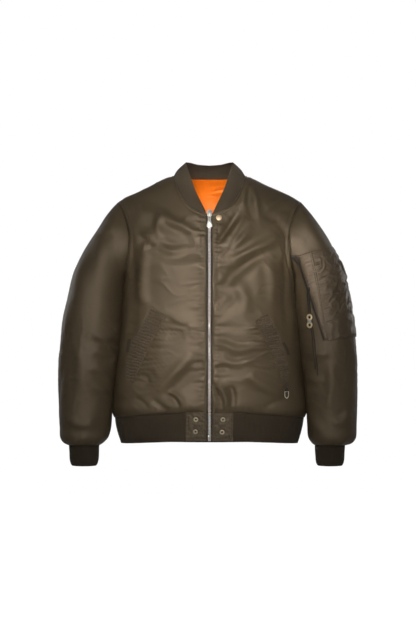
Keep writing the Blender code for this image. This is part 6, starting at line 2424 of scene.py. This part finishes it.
@dataclass
class SleevePocket:
    """Utility pocket on the wearer's left arm: gathered body, band, zip flap, pen slot."""

    shop: Workshop
    arm: Arm
    stitches: Stitches
    slider_at: Pair = (251.3, -279.0)
    link_at: Pair = (253.6, -369.5)

    def over(self, u: Array, v: Array, lift: Array) -> Array:
        """Points over the plain sleeve at places on the pocket."""
        s, turn = self.arm.pocket_place(u, v)
        return self.arm.plain(s, turn) + self.arm.outward(s, turn) * np.asarray(lift)[..., None]

    def grid(
        self, corners: Sequence[Pair], rows: int, columns: int
    ) -> tuple[Array, Array, Array, Array]:
        """Places u and v on a patch, and how far down and across it they are.

        Args:
            corners: Its (u, v) corners: top front, top back, foot front, foot back.
            rows: Steps down it.
            columns: Steps across it.

        Returns:
            u, v, the part down and the part across.
        """
        down, across = np.meshgrid(
            np.linspace(0, 1, rows + 1), np.linspace(0, 1, columns + 1), indexing="ij"
        )
        a, b, c, d = (np.array(corner) for corner in corners)
        top = a + (b - a) * across[..., None]
        foot = c + (d - c) * across[..., None]
        place = top + (foot - top) * down[..., None]
        return place[..., 0], place[..., 1], down, across

    def finish(
        self, name: str, node: str, points: Array, cut: Pair, wall: float, finish: str, held: str
    ) -> None:
        """Make a patch of the pocket."""
        patch = grid_mesh(name, points, cut)
        facing(patch, lambda p: np.array([0.285, 0, 0]) + p * [0, 0, 1])
        thicken(patch, wall)
        self.shop.dress(patch, "nylon", [finish], [node])

    def build_body(self) -> None:
        """Make the gathered body."""
        u, v, down, across = self.grid(((0, 0), (1, 0), (0, 1), (1, 1)), 156, 140)
        wide, tall = 150.0, 215.0
        x, z = across * wide, down * tall
        noise, fine = Noise(151), Noise(152)
        middle = (
            ease((across - 0.12) / 0.1) * ease((0.99 - across) / 0.1) * ease((0.8 - down) / 0.08)
            * ease(down / 0.14)
        )
        lean, along = z + 0.85 * x + 6 * fine(x / 30, z / 30), x - 0.85 * z
        crinkle = (
            2.8 * noise.creases(along / 44, lean / 24) + 1.8 * fine(along / 34 + 20, lean / 15)
            + 0.25 * fine(x / 9, z / 9 + 30)
        )
        near_zip = (
            1.5 * noise(x / 26, z / 3.6 + 8) * bell(across - 0.17, 0.07) * ease((0.8 - down) / 0.1)
        )
        slack = 1.5 * noise(x / 40, z / 34) + (
            1.2 * noise.creases(x / 44 + 3, z / 28 + 6)
            * ease(down / 0.06) * ease((0.99 - across) / 0.05)
        )
        edge = from_border(x, z, wide, tall)
        height = (
            0.9 + 2.6 * filled(edge, 2.2)
            + (middle * crinkle + near_zip + 0.8 * slack) * ease(edge / 9)
        )
        height -= 0.7 * bell(edge - 4.5, 1.2)
        points = self.over(u, v, height)
        self.finish(
            "gathered_pocket", "sleeve_pocket", points, (0.19, 0.24), 1.6, "nylon_pocket",
            "gathered",
        )
        self.sew(points, edge, 4.5)

    def sew(self, points: Array, edge: Array, inset: float) -> None:
        """Stitch a patch down along its front side and its foot.

        Args:
            points: Its points.
            edge: Distance of each from the patch's edge.
            inset: How far inside the edge the thread runs.
        """
        normals = grid_normals(points, np.array([0.3, -1.0, 0.0]))
        middle = edge.shape[0] // 2
        start = int(np.abs(edge[middle, : edge.shape[1] // 2] - inset).argmin())
        row = edge.shape[0] - 1 - int(np.abs(edge[:middle, edge.shape[1] // 2] - inset).argmin())
        self.stitches.run(points[: row + 1, start], normals[: row + 1, start])
        self.stitches.run(points[row, start:], normals[row, start:])

    def build_band(self) -> None:
        """Make the plain band along the foot."""
        u, v, down, across = self.grid(
            ((0.085, 0.79), (1, 0.79), (0.055, 1.004), (1, 1.004)), 44, 120
        )
        wide, tall = 140.0, 46.0
        x, z = across * wide, down * tall
        edge = from_border(x, z, wide, tall)
        noise = Noise(153)
        billow = 1.3 * noise((x + z) / 22, (z - x) / 26) + 0.7 * noise(x / 9, z / 11)
        height = 3.4 + 1.7 * filled(edge, 1.6) + billow * ease(edge / 8)
        height -= 0.6 * bell(edge - 3.5, 1.0)
        points = self.over(u, v, height)
        self.finish(
            "pocket_band", "sleeve_pocket_band", points, (0.15, 0.048), 1.0, "nylon_pocket", "hung"
        )
        self.sew(points, edge, 3.5)

    def build_zip_line(self) -> None:
        """Make the zip along the flap's free edge, near-black for its own dark colour and for
        painted shadow under the flap.
        """
        u, v, down, across = self.grid(
            ((-0.034, 0.0), (0.02, 0.0), (-0.03, 0.985), (0.02, 0.985)), 300, 12
        )
        coil = 0.5 * np.abs(np.sin(down * 232 * np.pi / 1.6)) * bell(across - 0.45, 0.2)
        points = self.over(u, v, 2.6 + coil - 1.2 * (2 * across - 1) ** 6)
        tape = grid_mesh("sleeve_zip", points, (0.010, 0.232))
        facing(tape, lambda p: np.array([0.285, 0, 0]) + p * [0, 0, 1])
        thicken(tape, 1.0)
        # The near-black cord finish is partly the zip's own colour and partly painted shadow under
        # the flap's edge.
        self.shop.dress(tape, "zip_tape", ["lace_cord"])

    def build_flap(self) -> None:
        """Make the strip of cloth that covers the slanting zip."""
        u, v, down, across = self.grid(
            ((0.004, 0.004), (0.185, 0.004), (0.002, 0.985), (0.045, 0.985)), 150, 26
        )
        wide, tall = 22.0, 232.0
        x, z = across * wide, down * tall
        edge = from_border(x, z, wide, tall)
        noise = Noise(154)
        billow = 0.9 * noise(x / 20, z / 16) + 0.6 * noise(z / 6, x / 12)
        height = 4.4 + 1.8 * filled(edge, 1.5) + billow * ease(edge / 5)
        height -= 0.7 * bell(wide - x - 3.0, 1.0)
        points = self.over(np.maximum(u, 0.0), v, height)
        self.finish(
            "pocket_flap", "sleeve_pocket_flap", points, (0.018, 0.235), 1.0, "nylon_pocket", "hung"
        )
        self.sew(points, edge, 3.0)

    def build_pen_slot(self) -> None:
        """Make the doubled tab of the pen slot at the sleeve's outline."""
        u, v, down, across = self.grid(((0.66, 0.2), (0.86, 0.2), (0.66, 0.4), (0.86, 0.4)), 60, 34)
        wide, tall = 32.0, 46.0
        x, z = across * wide, down * tall
        edge = from_border(x, z, wide, tall)
        noise = Noise(155)
        height = 5.6 + 2.0 * filled(edge, 1.5) + 0.8 * noise(x / 9, z / 12) * ease(edge / 4)
        points = self.over(u, v, height)
        self.finish("pen_tab", "pen_slot", points, (0.034, 0.048), 2.4, "nylon_trim", "hung")

    def seat(self, at: Pair, lift: float) -> Matrix:
        """Axes on the sleeve's front at a place seen from the front."""
        s, turn = self.arm.seen_at(*(np.array([value]) for value in at))
        here = self.arm.plain(s, turn)[0]
        out = self.arm.outward(s, turn)[0]
        up = unit(np.array([0.0, 0.0, 1.0]) - out * out[2])
        right = np.cross(up, out)
        return frame_matrix(here + out * lift, right * (1 if right[0] > 0 else -1), out)

    def build_slider(self) -> None:
        """Make the sleeve zip's slider with an eye for the lace."""
        seat = self.seat(self.slider_at, 6.0)
        shield = both_sides([(2.6, 6.0), (3.8, 3.0), (4.2, 0), (3.8, -4.6), (2.4, -5.0)])
        face = plate(shield, 0.0, 1.4, bevel=0.4)
        outline = both_sides([(1.6, 3.6), (2.6, 2.2), (2.6, -4.6), (1.4, -5.6)])
        eye = plate(outline, 1.2, 2.3, [box_outline(1.3, -4.2, 1.2)], 0.3)
        slider = joined("sleeve_zip_slider", [set_down(part, seat) for part in (face, eye)])
        self.shop.dress(slider, "nickel", ["dim_nickel"], ["sleeve_slider"])

    def build(self) -> None:
        """Make the whole pocket."""
        self.build_body()
        self.build_band()
        self.build_zip_line()
        self.build_flap()
        self.build_pen_slot()
        self.build_slider()


@dataclass
class PullLaces:
    """Doubled black lace of the sleeve zip, with its figure-eight link."""

    shop: Workshop
    arm: Arm
    pocket: SleevePocket
    radius: float = 1.5
    around: int = 14

    def route(self, stops: Sequence[LaceStop], count: int = 36) -> Array:
        """Points along a lace as it lies on the sleeve."""
        keys = [-stop.z for stop in stops]
        z = np.linspace(keys[0], keys[-1], count)
        x, lift = (
            Curve(keys, [getattr(stop, part) for stop in stops])(z) for part in ("x", "lift")
        )
        s, turn = self.arm.seen_at(x, -z)
        base, normal = self.arm.plain(s, turn), self.arm.outward(s, turn)
        cloth = self.arm.relief(s, turn, base, normal)
        below = self.arm.pocket.inside(self.arm.lengths(s), POCKET_TURN_REACH * turn) < -4
        cloth = np.convolve(
            np.pad(np.where(below, cloth, 0), 3, mode="edge"), np.full(7, 1 / 7), mode="valid"
        )
        return base + normal * np.maximum(lift, cloth + self.radius + 0.5)[:, None]

    def build_lace(self, node: str) -> None:
        """Make one braided lace as a closed tube with the braid standing in it.

        Args:
            node: Its node in the frame.
        """
        points = self.route(LACES[node])
        lengths = lengths_along(points)
        steps = int(lengths[-1] / 0.62)
        at = np.linspace(0, lengths[-1], steps + 1)
        fine = np.stack([Curve(lengths, points[:, i])(at) for i in range(3)], axis=-1)
        run = unit(np.gradient(fine, axis=0))
        side = unit(np.cross(run, np.array([0.2, -1.0, 0.1])))
        out = np.cross(side, run)
        turn = np.linspace(0, TURN, self.around + 1)[None, :, None]
        lay = at[:, None, None] * 1.9
        strands = np.abs(np.sin(3.5 * turn + lay)) * np.abs(np.sin(3.5 * turn - lay))
        ends = np.minimum(at, lengths[-1] - at)[:, None, None]
        blunt = np.sqrt(np.clip(1 - (1 - np.minimum(ends / 1.3, 1)) ** 2, 0.12, 1))
        radius = self.radius * (0.9 + 0.16 * strands) * blunt
        tube = fine[:, None] + radius * (np.cos(turn) * side[:, None] + np.sin(turn) * out[:, None])
        tube[:, -1] = tube[:, 0]
        lace = grid_mesh(f"braided_{node}", tube, (0.0095, lengths[-1] * METRES), closed=True)
        close_ends(lace)
        self.shop.dress(lace, "lace_cord", ["lace_cord"], [node])
        LOG.info("%s is %.0f mm long", node, lengths[-1])

    def build_link(self) -> bpy.types.Object:
        """Make the figure-eight link: two pale rings and a bright sleeve between them."""
        seat = self.pocket.seat(self.pocket.link_at, 5.0)
        rings = []
        for centre in (9.6, -9.6):
            turns = np.linspace(0, TURN, 13)[:-1]
            profile = [(5.9 + 2.4 * math.cos(t), 1.0 + 1.3 * math.sin(t)) for t in turns]
            ring = turned(profile, 40)
            bmesh.ops.translate(ring, vec=(0, 0, centre * METRES), verts=ring.verts)
            rings.append(set_down(ring, seat))
        loops = joined("link_rings", rings)
        self.shop.dress(loops, "pale_brass", ["pale_brass"], ["lace_link"])
        outline = both_sides([(4.4, 3.7), (5.0, 3.0), (5.0, -3.0), (4.4, -3.7)])
        band = joined("link_band", [set_down(plate(outline, -0.2, 3.0, bevel=0.6), seat)])
        self.shop.dress(band, "nickel", ["nickel"], ["lace_link"])
        return loops

    def build(self) -> None:
        """Make the link and both laces."""
        link = self.build_link()
        for node in LACES:
            self.build_lace(node)


@dataclass
class Seams:
    """Topstitching along the seams of the body and the sleeves."""

    torso: Torso
    arms: dict[Wearer, Arm]
    stitches: Stitches

    def along(self, x: Array, z: Array, lift: float = 0.1) -> None:
        """Sew a row on the front through places (x, z)."""
        fine = spline(np.stack([x, z], axis=-1), 3)
        x, z = fine[:, 0], fine[:, 1]
        self.stitches.run(self.torso.place(x, z, lift), self.torso.outward(x, z))

    def build(self) -> None:
        """Sew every row."""
        for at in (-19.4, -11.0, 11.2, 21.4):
            z = np.linspace(HEM_SEAM + 4, -107, 160)
            self.along(at + 0 * z, z)
        for wearer in Wearer:
            sign = wearer.value
            x = np.linspace(FRONT_EDGE_X + 3, 236, 90)
            self.along(sign * x, self.torso.hem_z(x, Side.FRONT) + 3.6)
            z = np.linspace(UNDERARM + 4, SHOULDER_TIP_Z - 6, 60)
            for inset in (3.0, 9.0):
                self.along(sign * (self.torso.armhole(z) - inset), z)
            part = np.linspace(0.06, 0.97, 40)
            neck_x, neck_z = (curve(part) for curve in self.torso.neck[Side.FRONT])
            outward = np.stack([np.gradient(-neck_z), np.gradient(neck_x)], axis=-1)
            outward /= np.linalg.norm(outward, axis=-1, keepdims=True)
            self.along(sign * (neck_x - 3.4 * outward[:, 0]), neck_z - 3.4 * outward[:, 1])
            part = np.linspace(0.03, 0.97, 40)
            tab_z = self.torso.hem_level(FRONT_EDGE_X + 4.0, part, Side.FRONT)
            for inset in (4.2, 47.3):
                self.along(sign * (FRONT_EDGE_X + inset) + 0 * part, tab_z, 0.9)
            across = FRONT_EDGE_X + np.linspace(4.2, 47.3, 30)
            for share in (0.06, 0.94):
                level = self.torso.hem_level(across, share, Side.FRONT)
                self.along(sign * across, level, 0.9)
            arm = self.arms[wearer]
            turn = np.linspace(0.02, TURN - 0.02, 200)
            at_cuff = arm.lengths(arm.last) - 4.0
            s = np.interp(at_cuff, arm.lengths.values, arm.lengths.keys) + 0 * turn
            normals = mirrored(arm.outward(s, turn), wearer)
            self.stitches.run(arm.place(s, turn, 0.1), normals)


# ---------------------------------------------------------------- studio
@dataclass
class Studio:
    """Camera, soft lights, white surroundings and a floor."""

    lens: float = 100.0
    sensor: float = 36.0
    camera_at: Triple = (-0.0036, -4.42, -0.347)
    aim: Triple = (0.0, 0.0, -0.33)
    floor_level: float = -1.45

    def place_camera(self) -> None:
        """Set up the camera, level and square to the front."""
        data = bpy.data.cameras.new("camera")
        data.lens, data.sensor_fit = self.lens, "VERTICAL"
        data.sensor_width = data.sensor_height = self.sensor
        camera = linked("camera", data)
        camera.location = self.camera_at
        camera.rotation_euler = (0.5 * math.pi, 0, 0)
        bpy.context.scene.camera = camera

    def light(
        self, name: str, place: Triple, size: Pair, watts: float, tint: Triple,
        spread: float = 180.0, aim: Triple | None = None,
    ) -> None:
        """Hang a soft light that looks at the jacket.

        Args:
            name: Name of the light.
            place: Where it hangs, in metres.
            size: Its width and height in metres.
            watts: Its power.
            tint: Its linear colour.
            spread: Angle of its beam in degrees.
            aim: Where it looks, or None for the middle of the jacket.
        """
        data = bpy.data.lights.new(name, "AREA")
        data.shape, data.size, data.size_y = "RECTANGLE", *size
        data.energy, data.color, data.spread = watts, tint, math.radians(spread)
        light = linked(name, data)
        light.location = place
        look = Vector(aim or self.aim) - Vector(place)
        light.rotation_euler = look.to_track_quat("-Z", "Y").to_euler()

    def white_or_dim(self, graph: Graph, bright: float, dim: float) -> bpy.types.NodeSocket:
        """Strength that is bright to the camera and dim to all other rays."""
        seen = graph.node("ShaderNodeLightPath").outputs["Is Camera Ray"]
        return graph.math("MULTIPLY_ADD", seen, bright - dim, dim)

    def hang_lights(self) -> None:
        """Hang the soft lights."""
        self.light("key", (-0.2, -2.6, -0.12), (0.34, 0.6), 0.75, (1.0, 0.96, 0.93), 15.0)
        self.light("fill", (0.0, -3.4, 0.5), (1.7, 1.7), 34.0, (0.98, 1.0, 0.96))
        self.light(
            "armhole", (-0.7, -2.5, 0.1), (0.12, 0.16), 0.075, (1.0, 0.97, 0.93), 6.0,
            (0.225, -0.03, -0.235),
        )
        self.light(
            "neck", (0.0, -1.7, 0.5), (0.1, 0.1), 0.036, (1.0, 0.97, 0.94), 7.0, (0.0, 0.05, -0.035)
        )
        self.light("back", (0.2, 3.4, 0.5), (1.8, 1.8), 62.0, (1.0, 0.99, 0.96))
        for side in (-1.0, 1.0):
            self.light(
                f"side_{'right' if side < 0 else 'left'}", (2.6 * side, 2.4, 0.4), (1.2, 1.6), 12.0,
                (1.0, 0.99, 0.97),
            )

    def build_surroundings(self) -> None:
        """Make surroundings that are white to the camera and dim to the jacket."""
        world = bpy.data.worlds.new("surroundings")
        world.use_nodes = True
        bpy.context.scene.world = world
        graph = Graph(world.node_tree)
        strength = self.white_or_dim(graph, 1.0, 0.17)
        background = world.node_tree.nodes["Background"]
        graph.fill(background, {"Color": (1, 1, 1, 1), "Strength": strength})

    def build_floor(self) -> None:
        """Make the floor, white to the camera too."""
        bm = bmesh.new()
        bmesh.ops.create_grid(bm, x_segments=1, y_segments=1, size=6.0)
        bmesh.ops.translate(bm, vec=(0, 0, self.floor_level), verts=bm.verts)
        floor = joined("floor", [bm])
        material, graph, shader = new_material("floor_white")
        look = {
            "Base Color": (0.35, 0.35, 0.35, 1), "Roughness": 0.9, "Emission Color": (1, 1, 1, 1)
        }
        graph.fill(shader, look | {"Emission Strength": self.white_or_dim(graph, 1.0, 0.0)})
        floor.data.materials.append(material)

    def build(self) -> None:
        """Make the lights, the surroundings and the floor."""
        bpy.context.scene.view_settings.view_transform = "Standard"
        self.hang_lights()
        self.build_surroundings()
        self.build_floor()


def main() -> None:
    """Make the camera, the laces, the jacket's pieces and the studio."""
    logging.basicConfig(level=logging.INFO, format="%(name)s: %(message)s", stream=sys.stdout)
    studio = Studio()
    studio.place_camera()
    torso, shop = Torso(), Workshop()
    arms = {wearer: Arm(wearer, torso) for wearer in Wearer}
    stitches = Stitches("stitches")
    sleeve_pocket = SleevePocket(shop, arms[Wearer.LEFT], stitches)
    PullLaces(shop, arms[Wearer.LEFT], sleeve_pocket).build()
    shell = Shell(shop, torso, arms)
    shell.build_back()
    shell.build_fronts()
    shell.build_sleeves()
    shell.build_lining()
    ribs = Ribs(shop, torso)
    tabs = HemTabs(shop, torso)
    ribs.build_collar()
    ribs.build_cuffs()
    ribs.build_hem(tabs.width)
    tabs.build()
    FrontZip(shop, torso).build()
    HandPockets(shop, torso, stitches).build()
    sleeve_pocket.build()
    Seams(torso, arms, stitches).build()
    shop.dress(stitches.build(), "nylon", ["thread"])
    studio.build()


if __name__ == "__main__":
    main()
